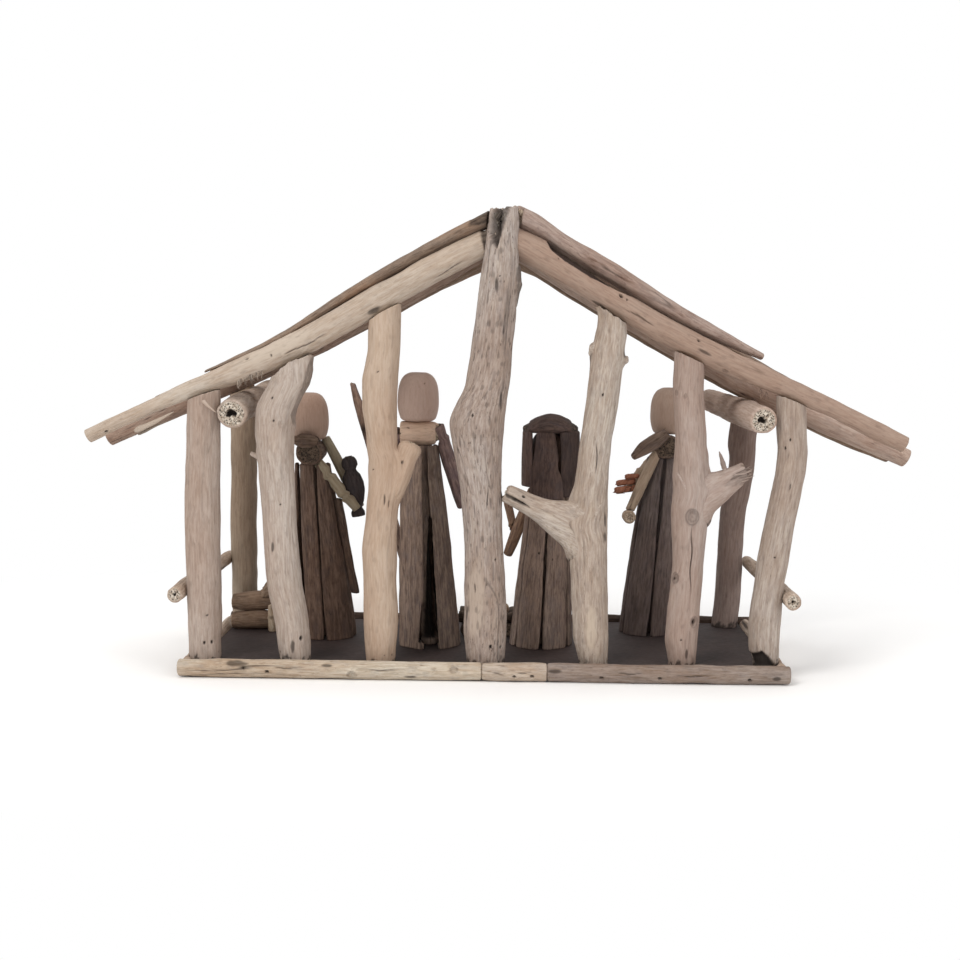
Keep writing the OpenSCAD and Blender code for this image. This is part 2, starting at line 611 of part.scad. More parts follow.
// Slats of the near pair are narrower, so that they lie behind the near rafters' front
near_slat_share = 0.82;
module near_slat(hand, end, rows, seed)
    difference() {
        translate([0, near_shift_share * slat_w, 0])
            stick(near_ridge, end, [slat_w * near_slat_share, slat_t], slat_rows(rows, rafter_d), seed,
                span = [0, slat_end_shares[hand < 0 ? 0 : 3]], lift = slat_lift(rafter_d),
                taper = slat_taper, sides = thin_sides, rings = slat_rings);
        beyond_ridge(-hand);
        if (hand < 0) left_rafter_stick(seat_gap);
        if (hand > 0) right_rafter_stick(seat_gap);
        king_stick(seat_gap);
        pole_stick(hand, pole_places[0], pole_seed(hand), seat_gap);
    }
function pole_seed(hand) = hand < 0 ? 31 : 33;
module pole_slat(hand, seed)
    difference() {
        translate([0, pole_shift_share * slat_w, 0])
            stick(pole_start(hand, pole_places[1]), pole_end(hand, pole_places[1], pole_reach(hand)),
                [slat_w, slat_t], slat_rows(pole_rows(hand), pole_d), seed,
                span = [0, slat_end_shares[hand < 0 ? 1 : 4]], lift = slat_lift(pole_d), taper = slat_taper,
                sides = thin_sides, rings = slat_rings);
        beyond_ridge(-hand);
        pole_stick(hand, pole_places[1], pole_seed(hand) + 1, seat_gap);
    }
module far_slat(hand, end, seed, rafter_seed)
    difference() {
        translate([0, far_shift_share * slat_w, 0])
            stick(far_start(end), end, [slat_w, slat_t], slat_rows(far_rafter_shares, far_rafter_d), seed,
                span = [0, slat_end_shares[hand < 0 ? 2 : 5]], lift = slat_lift(far_rafter_d),
                taper = slat_taper, sides = thin_sides, rings = slat_rings);
        beyond_ridge(-hand);
        far_rafter_stick(end, rafter_seed, seat_gap);
    }
module roof_slat_left_1() color([0.45, 0.41, 0.38])
    near_slat(-1, near_left_end, left_rafter_shares, 41);
module roof_slat_left_2() color([0.45, 0.39, 0.34]) pole_slat(-1, 42);
module roof_slat_left_3() color([0.54, 0.47, 0.4]) far_slat(-1, far_left_end, 43, 13);
module roof_slat_right_1() color([0.6, 0.52, 0.46])
    near_slat(1, near_right_end, right_rafter_shares, 44);
module roof_slat_right_2() color([0.46, 0.4, 0.34]) pole_slat(1, 45);
module roof_slat_right_3() color([0.55, 0.48, 0.41]) far_slat(1, far_right_end, 46, 14);

// Nails through the board into the feet of the posts
nail_d = 1.8;
nail_l = 30;
nail_head_d = 4;
nail_head_t = 1;
nail_fit = 0.04;
nail_sides = 24;
nail_feet = [[-post_1_x, row_y], [-post_2_x, row_y], [-post_3_x, row_y], [king_x, row_y],
    [post_5_x, row_y], [post_6_x, row_y], [post_7_x, row_y], [-far_left_x, far_y], [far_right_x, far_y]];
module nail_hole(at) {
    translate(at)
        cylinder(h = nail_l + nail_fit, d = nail_d + 2 * nail_fit, $fn = nail_sides);
    translate(at - [0, 0, over])
        cylinder(h = nail_head_t + nail_fit + over, d = nail_head_d + 2 * nail_fit, $fn = nail_sides);
}
module nail_hole_at(foot) nail_hole([foot[0], foot[1], 0]);
module nails() color([0.35, 0.33, 0.32])
    for (foot = nail_feet) translate([foot[0], foot[1], 0]) {
        cylinder(h = nail_l, d = nail_d, $fn = nail_sides);
        cylinder(h = nail_head_t, d = nail_head_d, $fn = nail_sides);
    }

// Figures: a robe of leaning slats round a core, a shoulder piece and an egg-shaped head
// Slat tables hold: angle, hem width share, top width share and sideways share of the top
function robe_rows(slat) = [[0, 0, 0, 0.96], [0.12, 0, 0, 1],
    [0.55, slat[3] * 0.4, 0.12, (0.85 + slat[2]) * 0.6], [1, slat[3], 0, slat[2]]];
core_shares = [[0, 0, 0, 1], [0.5, 0, 0, 0.95], [1, 0, 0, 0.9]];
core_d_share = 0.48;
core_rings = 4;
yoke_shares = [[0, 0, 0, 0.9], [0.3, 0, 0, 1], [0.8, 0, 0, 0.98], [1, 0, 0, 0.62]];
shoulder_w = 34;
shoulder_h = 18;
egg_foot_share = 0.09;
egg_top_share = 0.97;
module robe_slat(at, lean, height, slat, seed, grow) {
    out = [cos(slat[0]), sin(slat[0])];
    upright([at[0], at[1], floor_z] + [out[0], out[1], 0] * (hem_d - robe_t) / 2,
        lean - out * (hem_d - robe_t - collar_d + robe_t * slat[2]) / 2, height,
        [hem_d * slat[1], robe_t], robe_rows(slat), seed, grow, angle = slat[0], sides = thin_sides,
        rings = thin_rings);
}
module robe(at, lean, height, slats, seed, grow = 0) {
    for (i = [0 : len(slats) - 1]) robe_slat(at, lean, height, slats[i], seed + i, grow);
    upright([at[0], at[1], floor_z], lean, height, [collar_d, collar_d] * core_d_share, core_shares, seed,
        grow, sides = thin_sides, rings = core_rings);
}
// Shoulders are a short log cut level above and below
log_w = 21;
module shoulder_log(at, z, along, rows, seed, grow = 0) {
    middle = [at[0], at[1], z + shoulder_h / 2];
    half = along / 2 + unit(along) * grow;
    intersection() {
        stick(middle - half, middle + half, [log_w, log_w], rows, seed, grow, rings = thin_rings);
        translate([at[0] - base_w / 2, at[1] - base_w / 2, z - grow])
            cube([base_w, base_w, shoulder_h + 2 * grow]);
    }
}
module egg(at, z, grow = 0) {
    first = asin(2 * egg_foot_share - 1);
    last = asin(2 * egg_top_share - 1);
    foot = head_h / 2 * sin(first);
    steps = 14;
    translate([at[0], at[1], z - foot])
        rotate_extrude($fn = 48)
            polygon(concat([[0, foot]],
                [for (i = [0 : steps]) let (a = first + (last - first) * i / steps)
                    [(head_d / 2 + grow) * cos(a), (head_h / 2 + grow) * sin(a)]],
                [[0, head_h / 2 * sin(last)]]));
}
function top_of(at, lean) = [at[0] + lean[0], at[1] + lean[1]];
arm_shares = [[0, 0, 0, 0.85], [0.3, 0.05, 0, 1], [0.75, -0.05, 0, 1.02], [1, 0, 0, 0.8]];
module arm(from, to, seed, grow = 0)
    stick(from, to, [arm_d, arm_d], arm_shares, seed, grow, sides = thin_sides, rings = thin_rings);
// Places of the figures are shares of the base
function placed(shares) = [base_w * shares[0], base_d * shares[1]];

// Left gift bearer, facing right, with a lidded jar
left_place_shares = [-0.29, 0.102];
left_at = placed(left_place_shares);
left_lean = [-11, 0];
left_nod = [-3, 0];
left_top = top_of(left_at, left_lean);
left_z = floor_z + left_robe_h;
left_slat_shares = [[-107, 0.31, 0.8, 0], [-50, 0.58, 0.36, 0], [12, 0.36, 0.52, 0], [66, 0.4, 0.52, 0],
    [122, 0.42, 0.52, 0], [180, 0.42, 0.52, 0]];
module left_log(grow = 0)
    shoulder_log(left_top, left_z + seat_gap, [0, shoulder_w, 0], core_shares, 52, grow);
// A second short log lies across the front of the first
left_brow_shares = [-0.06, -0.68, 1.05];
left_brow_end_shares = [-0.06, -0.3, 1.05];
left_brow_w = 22;
left_brow_t = 12;
module left_brow(grow = 0)
    stick([left_top[0], left_top[1], left_z] + spread(left_brow_shares),
        [left_top[0], left_top[1], left_z] + spread(left_brow_end_shares),
        [left_brow_w, left_brow_t], core_shares, 58, grow, sides = thin_sides, rings = core_rings);
function spread(shares) = [shoulder_w * shares[0], shoulder_w * shares[1], shoulder_h * shares[2]];
module left_egg(grow = 0) egg(left_top + left_nod, left_z + shoulder_h + 2 * seat_gap, grow);
jar_d = 17;
jar_h = 48;
jar_tilt = -10;
jar_place_shares = [0.53, 0];
jar_lift_share = 0.695;
jar_at = left_at + jar_place_shares * hem_d;
jar_z = floor_z + left_robe_h * jar_lift_share;
jar_shares = [[0.62, 0], [0.66, 0.07], [0.42, 0.14], [0.75, 0.24], [1, 0.42], [1, 0.55], [0.82, 0.68],
    [0.5, 0.76], [0.52, 0.8], [0.74, 0.83], [0.72, 0.92], [0.45, 1]];
module jar_shape(grow = 0)
    translate([jar_at[0], jar_at[1], jar_z])
        rotate([0, jar_tilt, 0])
            rotate_extrude($fn = 48)
                polygon(concat([[0, -grow]],
                    [for (p = jar_shares) [p[0] * jar_d / 2 + grow, p[1] * jar_h]],
                    [[0, jar_h + grow]]));
// Shoulder ends of the near and the far arm, and the hands' places on the jar
left_arm_shares = [[0, -0.28, 0.45], [0.27, 0.24, 1.1]];
left_hand_shares = [[0, -0.5, 0.13], [0.05, 0.5, 0.13]];
// A dark slat hangs from the robe's right side and ends above the floor
flap_w = 7.5;
flap_t = 5;
flap_turn = -90;
flap_top_shares = [0.42, -0.06, 0.8];
flap_foot_shares = [0.5, -0.23, 0.26];
flap_shares = [[0, 0, 0, 0.8], [0.5, 0, 0, 1], [1, 0, 0, 0.95]];
flap_top = [left_top[0] + hem_d * flap_top_shares[0], left_top[1] + hem_d * flap_top_shares[1],
    floor_z + left_robe_h * flap_top_shares[2]];
flap_foot = [left_at[0] + hem_d * flap_foot_shares[0], left_at[1] + hem_d * flap_foot_shares[1],
    floor_z + left_robe_h * flap_foot_shares[2]];
module left_flap()
    difference() {
        upright(flap_foot, [flap_top[0] - flap_foot[0], flap_top[1] - flap_foot[1]],
            flap_top[2] - flap_foot[2], [flap_w, flap_t], flap_shares, 59, angle = flap_turn,
            sides = thin_sides, rings = thin_rings);
        robe(left_at, left_lean, left_robe_h, left_slat_shares, 51, seat_gap);
    }
module left_bearer_robe() color([0.38, 0.32, 0.28]) {
    robe(left_at, left_lean, left_robe_h, left_slat_shares, 51);
    left_flap();
}
module left_bearer_shoulders() color([0.3, 0.25, 0.22]) {
    left_log();
    difference() {
        left_brow();
        left_log(seat_gap);
        left_egg(2 * seat_gap);
    }
}
module left_bearer_head() color([0.66, 0.56, 0.49]) left_egg();
module left_bearer_arms() color([0.62, 0.52, 0.42])
    difference() {
        for (i = [0, 1])
            arm([left_top[0], left_top[1], left_z] + spread(left_arm_shares[i]),
                [jar_at[0] + jar_d * left_hand_shares[i][0], jar_at[1] + jar_d * left_hand_shares[i][1],
                    jar_z + jar_h * left_hand_shares[i][2]], 53 + i);
        left_log(seat_gap);
        left_brow(seat_gap);
        jar_shape(seat_gap);
        robe(left_at, left_lean, left_robe_h, left_slat_shares, 51, seat_gap);
    }
module left_bearer_jar() color([0.22, 0.2, 0.19]) jar_shape();

// Shepherd, seen from behind, with a leaning staff
shepherd_place_shares = [-0.0982, -0.041];
shepherd_at = placed(shepherd_place_shares);
shepherd_lean = [-8, 0];
shepherd_nod = [-1.5, 0];
shepherd_top = top_of(shepherd_at, shepherd_lean);
shepherd_z = floor_z + shepherd_robe_h;
shepherd_slat_shares = [[-129, 0.58, 0.62, -0.16], [-41, 0.54, 0.44, 0], [20, 0.36, 0.52, 0],
    [70, 0.33, 0.52, 0], [120, 0.33, 0.52, 0], [172, 0.33, 0.52, 0]];
yoke_l = 30;
module shepherd_log(grow = 0)
    shoulder_log(shepherd_top, shepherd_z + seat_gap, [yoke_l, 0, 0], yoke_shares, 62, grow);
module shepherd_egg() egg(shepherd_top + shepherd_nod, shepherd_z + shoulder_h + 2 * seat_gap);
staff_foot_shares = [-0.114, 0.184];
staff_top_shares = [-0.2445, 0.133];
staff_h = 200;
staff_d = 7;
staff_shares = [[0, 0, 0, 1], [0.4, 0.3, 0.1, 0.95], [0.75, -0.2, 0, 1], [0.97, 0, 0, 0.95], [1, 0, 0, 0.6]];
staff_foot = placed(staff_foot_shares);
staff_top = placed(staff_top_shares);
module staff_stick(grow = 0)
    upright([staff_foot[0], staff_foot[1], floor_z], staff_top - staff_foot, staff_h, [staff_d, staff_d],
        staff_shares, 57, grow, sides = thin_sides);
staff_hand_share = 0.68;
staff_hand = staff_foot + (staff_top - staff_foot) * staff_hand_share;
staff_grip_share = 0.4;
// Shoulder ends of the two arms, and the place of the free hand
shepherd_arm_shares = [[0.41, 0, 0.83], [-0.42, 0, 0.5]];
shepherd_hand_shares = [0.96, 0.39, -2.7];
module shepherd_robe() color([0.42, 0.35, 0.29])
    robe(shepherd_at, shepherd_lean, shepherd_robe_h, shepherd_slat_shares, 61);
module shepherd_shoulders() color([0.6, 0.5, 0.39]) shepherd_log();
module shepherd_head() color([0.64, 0.54, 0.48]) shepherd_egg();
module shepherd_arms() color([0.34, 0.29, 0.26])
    difference() {
        union() {
            arm([shepherd_top[0], shepherd_top[1], shepherd_z] + spread(shepherd_arm_shares[0]),
                [shepherd_top[0], shepherd_top[1], shepherd_z] + spread(shepherd_hand_shares), 63);
            arm([shepherd_top[0], shepherd_top[1], shepherd_z] + spread(shepherd_arm_shares[1]),
                [staff_hand[0], staff_hand[1] - staff_d * staff_grip_share,
                    floor_z + staff_h * staff_hand_share], 64);
        }
        shepherd_log(seat_gap);
        staff_stick(seat_gap);
        robe(shepherd_at, shepherd_lean, shepherd_robe_h, shepherd_slat_shares, 61, seat_gap);
    }
module shepherd_staff() color([0.4, 0.34, 0.3]) staff_stick();

// Mother, seen from behind, with a cap and a veil of hanging slats
mother_place_shares = [0.097, -0.0204];
mother_at = placed(mother_place_shares);
mother_lean = [6, 4];
mother_top = top_of(mother_at, mother_lean);
mother_z = floor_z + mother_robe_h;
mother_slat_shares = [[-120, 0.46, 0.52, 0], [-60, 0.47, 0.52, 0], [0, 0.43, 0.52, 0],
    [60, 0.44, 0.52, 0], [120, 0.42, 0.52, 0], [180, 0.45, 0.52, 0]];
cap_w = 42;
cap_t = 11;
cap_d_share = 1.25;
mother_head_z = mother_z + seat_gap;
cap_z = mother_head_z + head_h * (egg_top_share - egg_foot_share);
cap_shares = [[0, 0, 0, 0.3], [0.12, 0, 0, 0.68], [0.5, 0, 0.06, 1], [0.88, 0, 0, 0.7], [1, 0, 0, 0.32]];
// The cap is a half moon, flat below
module cap_stick()
    intersection() {
        stick([mother_top[0] - cap_w / 2, mother_top[1], cap_z],
            [mother_top[0] + cap_w / 2, mother_top[1], cap_z],
            [head_d * cap_d_share, 2 * cap_t], cap_shares, 71, sides = stick_sides, rings = thin_rings);
        translate([-base_w, -base_w, cap_z + seat_gap]) cube([2 * base_w, 2 * base_w, base_w]);
    }
veil_l = 51;
veil_w = 22;
veil_t = 6;
veil_room = 1;
veil_d = head_d + veil_t + veil_room;
// Rows hold: angle, top width share, foot width share and length share
veil_slat_shares = [[-155, 0.6, 0.68, 0.83], [-100, 0.54, 1.03, 1], [-40, 0.9, 0.72, 0.97],
    [20, 0.78, 0.7, 0.92]];
module veil_slat(slat, seed)
    upright([mother_top[0], mother_top[1], cap_z - veil_l * slat[3]]
            + [cos(slat[0]), sin(slat[0]), 0] * veil_d / 2,
        [0, 0], veil_l * slat[3], [veil_w, veil_t],
        [[0, 0, 0, slat[2]], [0.5, 0, 0.05, (slat[1] + slat[2]) / 2], [1, 0, 0, slat[1]]],
        seed, angle = slat[0], sides = thin_sides, rings = thin_rings);
// Hands of the two arms, and a short stick that stands on the left one
mother_arm_shares = [0.45, 0.3, -0.32];
mother_hand_shares = [[-1.16, 0.85, -2.25], [0.48, 0.85, -2.25]];
mother_stick_d = 7;
mother_stick_shares = [-0.95, 0.67, -1.6];
mother_stick_end_shares = [-1.18, 0.79, -0.72];
function by_mother(shares) = [mother_top[0], mother_top[1], mother_z] + shares * collar_d;
module mother_arm(i, grow = 0)
    arm(by_mother([(2 * i - 1) * mother_arm_shares[0], mother_arm_shares[1], mother_arm_shares[2]]),
        by_mother(mother_hand_shares[i]), 77 + 2 * i, grow);
module mother_robe() color([0.37, 0.31, 0.27])
    robe(mother_at, mother_lean, mother_robe_h, mother_slat_shares, 72);
module mother_head() color([0.66, 0.56, 0.49]) egg(mother_top, mother_head_z);
module mother_veil() color([0.24, 0.2, 0.19]) {
    cap_stick();
    for (i = [0 : len(veil_slat_shares) - 1]) veil_slat(veil_slat_shares[i], 73 + i);
}
module mother_arms() color([0.45, 0.37, 0.3]) {
    difference() {
        for (i = [0, 1]) mother_arm(i);
        robe(mother_at, mother_lean, mother_robe_h, mother_slat_shares, 72, seat_gap);
    }
    difference() {
        stick(by_mother(mother_stick_shares), by_mother(mother_stick_end_shares),
            [mother_stick_d, mother_stick_d], plain_shares, 80, sides = thin_sides, rings = core_rings);
        mother_arm(0, seat_gap);
    }
}

// Right gift bearer, facing left, with a small bundle
right_place_shares = [0.2968, 0.255];
right_at = placed(right_place_shares);
right_lean = [11, 0];
right_nod = [3.7, 0];
right_top = top_of(right_at, right_lean);
right_z = floor_z + right_robe_h;
right_slat_shares = [[-126, 0.5, 0.52, 0], [-68, 0.37, 0.52, 0], [-10, 0.42, 0.52, 0],
    [50, 0.44, 0.52, 0], [110, 0.44, 0.52, 0], [170, 0.43, 0.52, 0]];
module right_log(grow = 0)
    shoulder_log(right_top, right_z + seat_gap, [0, shoulder_w, 0], core_shares, 82, grow);
function by_right(shares) = [right_top[0], right_top[1], right_z] + spread(shares);
// A leaf-shaped slat lies over the near shoulder like a short cape
cape_w = 12.5;
cape_t = 6;
cape_top_shares = [0, -0.57, 1.15];
cape_foot_shares = [-0.8, -0.57, 0.02];
cape_shares = [[0, 0, 0, 0.62], [0.3, 0, 0, 1], [0.7, 0.06, 0, 0.9], [1, 0, 0, 0.4]];
module right_cape(grow = 0)
    stick(by_right(cape_top_shares), by_right(cape_foot_shares), [cape_w, cape_t], cape_shares, 87, grow,
        side = unit(cross([0, 1, 0], spread(cape_foot_shares - cape_top_shares))), face = [0, 1, 0],
        sides = thin_sides, rings = thin_rings);
// The gift is a bundle of three short sticks. Rows hold: end, end and thickness share
gift_d = 6.5;
gift_l = 17;
gift_place_shares = [-0.44, -0.12];
gift_lift_share = 0.81;
gift_at = right_at + gift_place_shares * hem_d;
gift_z = floor_z + right_robe_h * gift_lift_share;
gift_stick_shares = [[[-0.48, 0, 0], [0.55, 0, 0.12], 1], [[-0.42, 0.12, 0.33], [0.5, 0.06, 0.44], 0.85],
    [[0, 0, 0.65], [0.7, -0.04, 0.7], 0.75]];
module gift_part(i, grow = 0) {
    row = gift_stick_shares[i];
    at = [gift_at[0], gift_at[1], gift_z];
    reach = unit(row[1] - row[0]) * grow;
    stick(at + row[0] * gift_l - reach, at + row[1] * gift_l + reach, [gift_d, gift_d] * row[2],
        plain_shares, 83 + i, grow, sides = thin_sides, rings = 3);
}
// The near hand is a short dowel that points forward
right_hand_d = 11;
right_hand_l = 14;
right_hand_shares = [-0.85, -0.44, -2.58];
module right_hand(grow = 0) {
    half = [0, right_hand_l / 2 + grow, 0];
    stick(by_right(right_hand_shares) - half, by_right(right_hand_shares) + half,
        [right_hand_d, right_hand_d], core_shares, 88, grow, rings = core_rings);
}
right_arm_shares = [[-0.2, -0.42, 0.35], [0, 0.28, 0.45]];
right_arm_end_shares = [[-0.87, -0.4, -2.5], [-0.82, 0.12, -1.4]];
module right_bearer_robe() color([0.3, 0.27, 0.25])
    robe(right_at, right_lean, right_robe_h, right_slat_shares, 81);
module right_bearer_shoulders() color([0.33, 0.29, 0.26]) {
    right_log();
    difference() {
        right_cape();
        right_log(seat_gap);
        robe(right_at, right_lean, right_robe_h, right_slat_shares, 81, seat_gap);
    }
}
module right_bearer_head() color([0.66, 0.56, 0.49])
    egg(right_top + right_nod, right_z + shoulder_h + 2 * seat_gap);
module right_bearer_arms() color([0.6, 0.5, 0.4]) {
    right_hand();
    difference() {
        for (i = [0, 1]) arm(by_right(right_arm_shares[i]), by_right(right_arm_end_shares[i]), 84 + 2 * i);
        right_hand(seat_gap);
        right_log(seat_gap);
        right_cape(seat_gap);
        for (i = [0 : len(gift_stick_shares) - 1]) gift_part(i, seat_gap);
        robe(right_at, right_lean, right_robe_h, right_slat_shares, 81, seat_gap);
    }
}
module right_bearer_gift() color([0.42, 0.29, 0.24]) {
    gift_part(0);
    difference() {
        gift_part(1);
        gift_part(0, seat_gap);
    }
    difference() {
        gift_part(2);
        gift_part(0, seat_gap);
        gift_part(1, seat_gap);
    }
}

// Manger of slats on two cross logs, with a swaddled infant
manger_place_shares = [0.0011, 0.153];
manger_at = placed(manger_place_shares);
log_d = 11;
manger_w = 26;
manger_t = 5;
manger_rings = 5;
log_x_shares = [-0.36, 0.36];
log_shares = [[0, 0, 0, 0.95], [0.5, 0, 0.02, 1], [1, 0, 0, 0.95]];
manger_bed_z = floor_z + log_d - nest;
module manger_slat(y, z, width, seed, tilt, grow = 0)
    translate([manger_at[0] - manger_l / 2, manger_at[1] + y, z])
        rotate([tilt, 0, 0])
            stick([0, 0, 0], [manger_l, 0, 0], [width, manger_t], log_shares, seed, grow,
                sides = thin_sides, rings = manger_rings);
module manger_logs(grow = 0)
    for (s = log_x_shares)
        stick([manger_at[0] + s * manger_l, manger_at[1] - manger_w / 2, floor_z + log_d / 2],
            [manger_at[0] + s * manger_l, manger_at[1] + manger_w / 2, floor_z + log_d / 2],
            [log_d, log_d], log_shares, 91, grow, sides = thin_sides, rings = manger_rings);
module manger_bed(grow = 0) manger_slat(0, manger_bed_z + manger_t / 2, manger_w * 0.62, 92, 0, grow);
manger_side_tilt = 62;
manger_side_share = 0.42;
manger_side_w = (manger_h - log_d + nest) / (manger_side_share + sin(manger_side_tilt) / 2);
module manger() color([0.27, 0.22, 0.2]) {
    intersection() {
        manger_logs();
        translate([-base_w, -base_w, floor_z]) cube([2 * base_w, 2 * base_w, base_w]);
    }
    difference() {
        manger_bed();
        manger_logs(seat_gap);
    }
    for (s = [-1, 1])
        difference() {
            manger_slat(s * manger_w * 0.42, manger_bed_z + manger_side_w * manger_side_share, manger_side_w,
                93, s * manger_side_tilt);
            manger_logs(seat_gap);
            manger_bed(seat_gap);
        }
}
infant_l = 34;
infant_d = 12;
infant_head_d = 11;
infant_shares = [[0, 0, 0, 0.6], [0.3, 0, 0, 1], [0.7, 0, 0, 1], [1, 0, 0, 0.8]];
infant_z = manger_bed_z + manger_t + infant_d / 2 + seat_gap;
module infant() color([0.75, 0.68, 0.58]) {
    stick([manger_at[0] - infant_l / 2, manger_at[1], infant_z],
        [manger_at[0] + infant_l / 2 - infant_head_d, manger_at[1], infant_z],
        [infant_d, infant_d], infant_shares, 95, sides = thin_sides, rings = thin_rings);
    translate([manger_at[0] + infant_l / 2 - infant_head_d / 2 + seat_gap, manger_at[1], infant_z])
        sphere(d = infant_head_d, $fn = 32);
}

// Sheep lying by the left end, of two body slats, a raised head and a foreleg
sheep_place_shares = [-0.429, 0.204];
sheep_at = placed(sheep_place_shares);
sheep_d = 17;
sheep_shares = [[0, 0, 0, 0.75], [0.3, 0, 0, 1], [0.7, 0, 0.04, 1.02], [1, 0, 0, 0.7]];
module sheep_log(y, z, seed, grow = 0)
    stick([sheep_at[0] - sheep_l / 2, sheep_at[1] + y, z], [sheep_at[0] + sheep_l / 2, sheep_at[1] + y, z],
        [sheep_d, sheep_d], sheep_shares, seed, grow, sides = thin_sides, rings = thin_rings);
module sheep_low(grow = 0) sheep_log(0, floor_z + sheep_d * 0.42, 96, grow);
module sheep_high(grow = 0) sheep_log(sheep_d * 0.12, floor_z + sheep_d * 1.3, 97, grow);
module sheep_body() color([0.5, 0.43, 0.36]) {
    intersection() {
        sheep_low();
        translate([-base_w, -base_w, floor_z]) cube([2 * base_w, 2 * base_w, base_w]);
    }
    difference() {
        sheep_high();
        sheep_low(seat_gap);
    }
}
sheep_head_d = 12;
sheep_head_shares = [0.48, 0, 1.5];
sheep_muzzle_shares = [0.2, 0, 2.7];
module sheep_head() color([0.55, 0.48, 0.41])
    difference() {
        stick([sheep_at[0], sheep_at[1], floor_z] + sheep_head_shares * sheep_d,
            [sheep_at[0], sheep_at[1], floor_z] + sheep_muzzle_shares * sheep_d + [sheep_d, 0, 0] * 0.9,
            [sheep_head_d, sheep_head_d], [[0, 0, 0, 1], [0.5, 0, 0, 0.95], [1, 0, 0, 0.4]], 98,
            sides = thin_sides, rings = thin_rings);
        sheep_high(seat_gap);
        sheep_low(seat_gap);
    }
sheep_leg_d = 8;
module sheep_leg() color([0.7, 0.63, 0.54])
    difference() {
        upright([sheep_at[0] + sheep_l * 0.42, sheep_at[1] - sheep_d * 0.6, floor_z],
            [-sheep_leg_d * 0.3, sheep_leg_d * 0.3], sheep_d * 1.25, [sheep_leg_d, sheep_leg_d],
            [[0, 0, 0, 1], [0.5, 0, 0, 0.9], [1, 0, 0, 0.5]], 99, sides = thin_sides, rings = core_rings);
        sheep_high(seat_gap);
        sheep_low(seat_gap);
    }

base_board();
trim_near_left();
trim_near_middle();
trim_near_right();
trim_left();
trim_right();
trim_far();
post_1();
post_2();
post_3();
king_post();
post_5();
post_6();
post_7();
far_post_left();
far_post_right();
eave_beam_left();
eave_beam_right();
side_rail_left();
side_rail_right();
ridge_pole();
near_rafter_left();
near_rafter_right();
far_rafter_left();
far_rafter_right();
roof_pole_left_1();
roof_pole_left_2();
roof_pole_right_1();
roof_pole_right_2();
roof_slat_left_1();
roof_slat_left_2();
roof_slat_left_3();
roof_slat_right_1();
roof_slat_right_2();
roof_slat_right_3();
nails();
left_bearer_robe();
left_bearer_shoulders();
left_bearer_head();
left_bearer_arms();
left_bearer_jar();
shepherd_robe();
shepherd_shoulders();
shepherd_head();
shepherd_arms();
shepherd_staff();
mother_robe();
mother_head();
mother_veil();
mother_arms();
right_bearer_robe();
right_bearer_shoulders();
right_bearer_head();
right_bearer_arms();
right_bearer_gift();
manger();
infant();
sheep_body();
sheep_head();
sheep_leg();
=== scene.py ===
import math
import bpy
import bmesh
import numpy as np
from mathutils import Matrix, Vector
from mathutils.bvhtree import BVHTree


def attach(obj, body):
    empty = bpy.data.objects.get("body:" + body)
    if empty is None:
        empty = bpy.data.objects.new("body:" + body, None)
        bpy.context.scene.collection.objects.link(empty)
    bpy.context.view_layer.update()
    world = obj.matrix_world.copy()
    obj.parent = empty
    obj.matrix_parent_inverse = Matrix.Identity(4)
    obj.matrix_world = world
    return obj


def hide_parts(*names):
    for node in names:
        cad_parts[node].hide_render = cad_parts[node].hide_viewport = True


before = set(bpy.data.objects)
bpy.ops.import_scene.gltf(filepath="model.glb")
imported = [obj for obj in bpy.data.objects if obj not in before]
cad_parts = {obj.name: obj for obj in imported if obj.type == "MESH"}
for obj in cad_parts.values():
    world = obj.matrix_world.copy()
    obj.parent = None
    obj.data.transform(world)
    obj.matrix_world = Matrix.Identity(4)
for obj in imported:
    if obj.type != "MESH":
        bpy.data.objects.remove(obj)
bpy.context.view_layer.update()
print("frame loaded:", len(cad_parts), "nodes")


# lengths in this script are millimetres until the mesh is made
def srgb(*colour):
    steps = [c / 255 for c in colour]
    return tuple(c / 12.92 if c <= 0.0404 else ((c + 0.055) / 1.055) ** 2.4 for c in steps) + (1.0,)


# noise on arrays of points
def latticeValue(ix, iy, iz, seed):
    h = (ix * 374761393 + iy * 668265263 + iz * 1442695041 + seed * 974634777) & 0xFFFFFFFF
    h = ((h ^ (h >> 13)) * 1274126177) & 0xFFFFFFFF
    return ((h ^ (h >> 16)) & 0xFFFF) / 32767.5 - 1.0


def noise(p, seed):
    cell = np.floor(p)
    f = p - cell
    i = cell.astype(np.int64)
    w = f * f * (3 - 2 * f)
    total = 0.0
    for dx in (0, 1):
        wx = w[..., 0] if dx else 1 - w[..., 0]
        for dy in (0, 1):
            wy = w[..., 1] if dy else 1 - w[..., 1]
            for dz in (0, 1):
                wz = w[..., 2] if dz else 1 - w[..., 2]
                corner = latticeValue(i[..., 0] + dx, i[..., 1] + dy, i[..., 2] + dz, seed)
                total = total + wx * wy * wz * corner
    return total


def fractal(p, seed, octaves=3):
    return sum(noise(p * 2 ** k + 7.3 * k, seed + k) * 0.5 ** k for k in range(octaves))


def smoothStep(lo, hi, x):
    t = np.clip((x - lo) / (hi - lo), 0, 1)
    return t * t * (3 - 2 * t)


# from a CAD solid to a dense skin that follows its grain
def splineWeights(count, where, loop):
    base = np.floor(where).astype(int)
    f = where - base
    w = [(1 - f) ** 3 / 6, (3 * f ** 3 - 6 * f ** 2 + 4) / 6,
         (-3 * f ** 3 + 3 * f ** 2 + 3 * f + 1) / 6, f ** 3 / 6]
    m = np.zeros((len(where), count))
    for k in range(4):
        idx = base + k - 1
        idx = idx % count if loop else np.clip(idx, 0, count - 1)
        np.add.at(m, (np.arange(len(where)), idx), w[k])
    return m


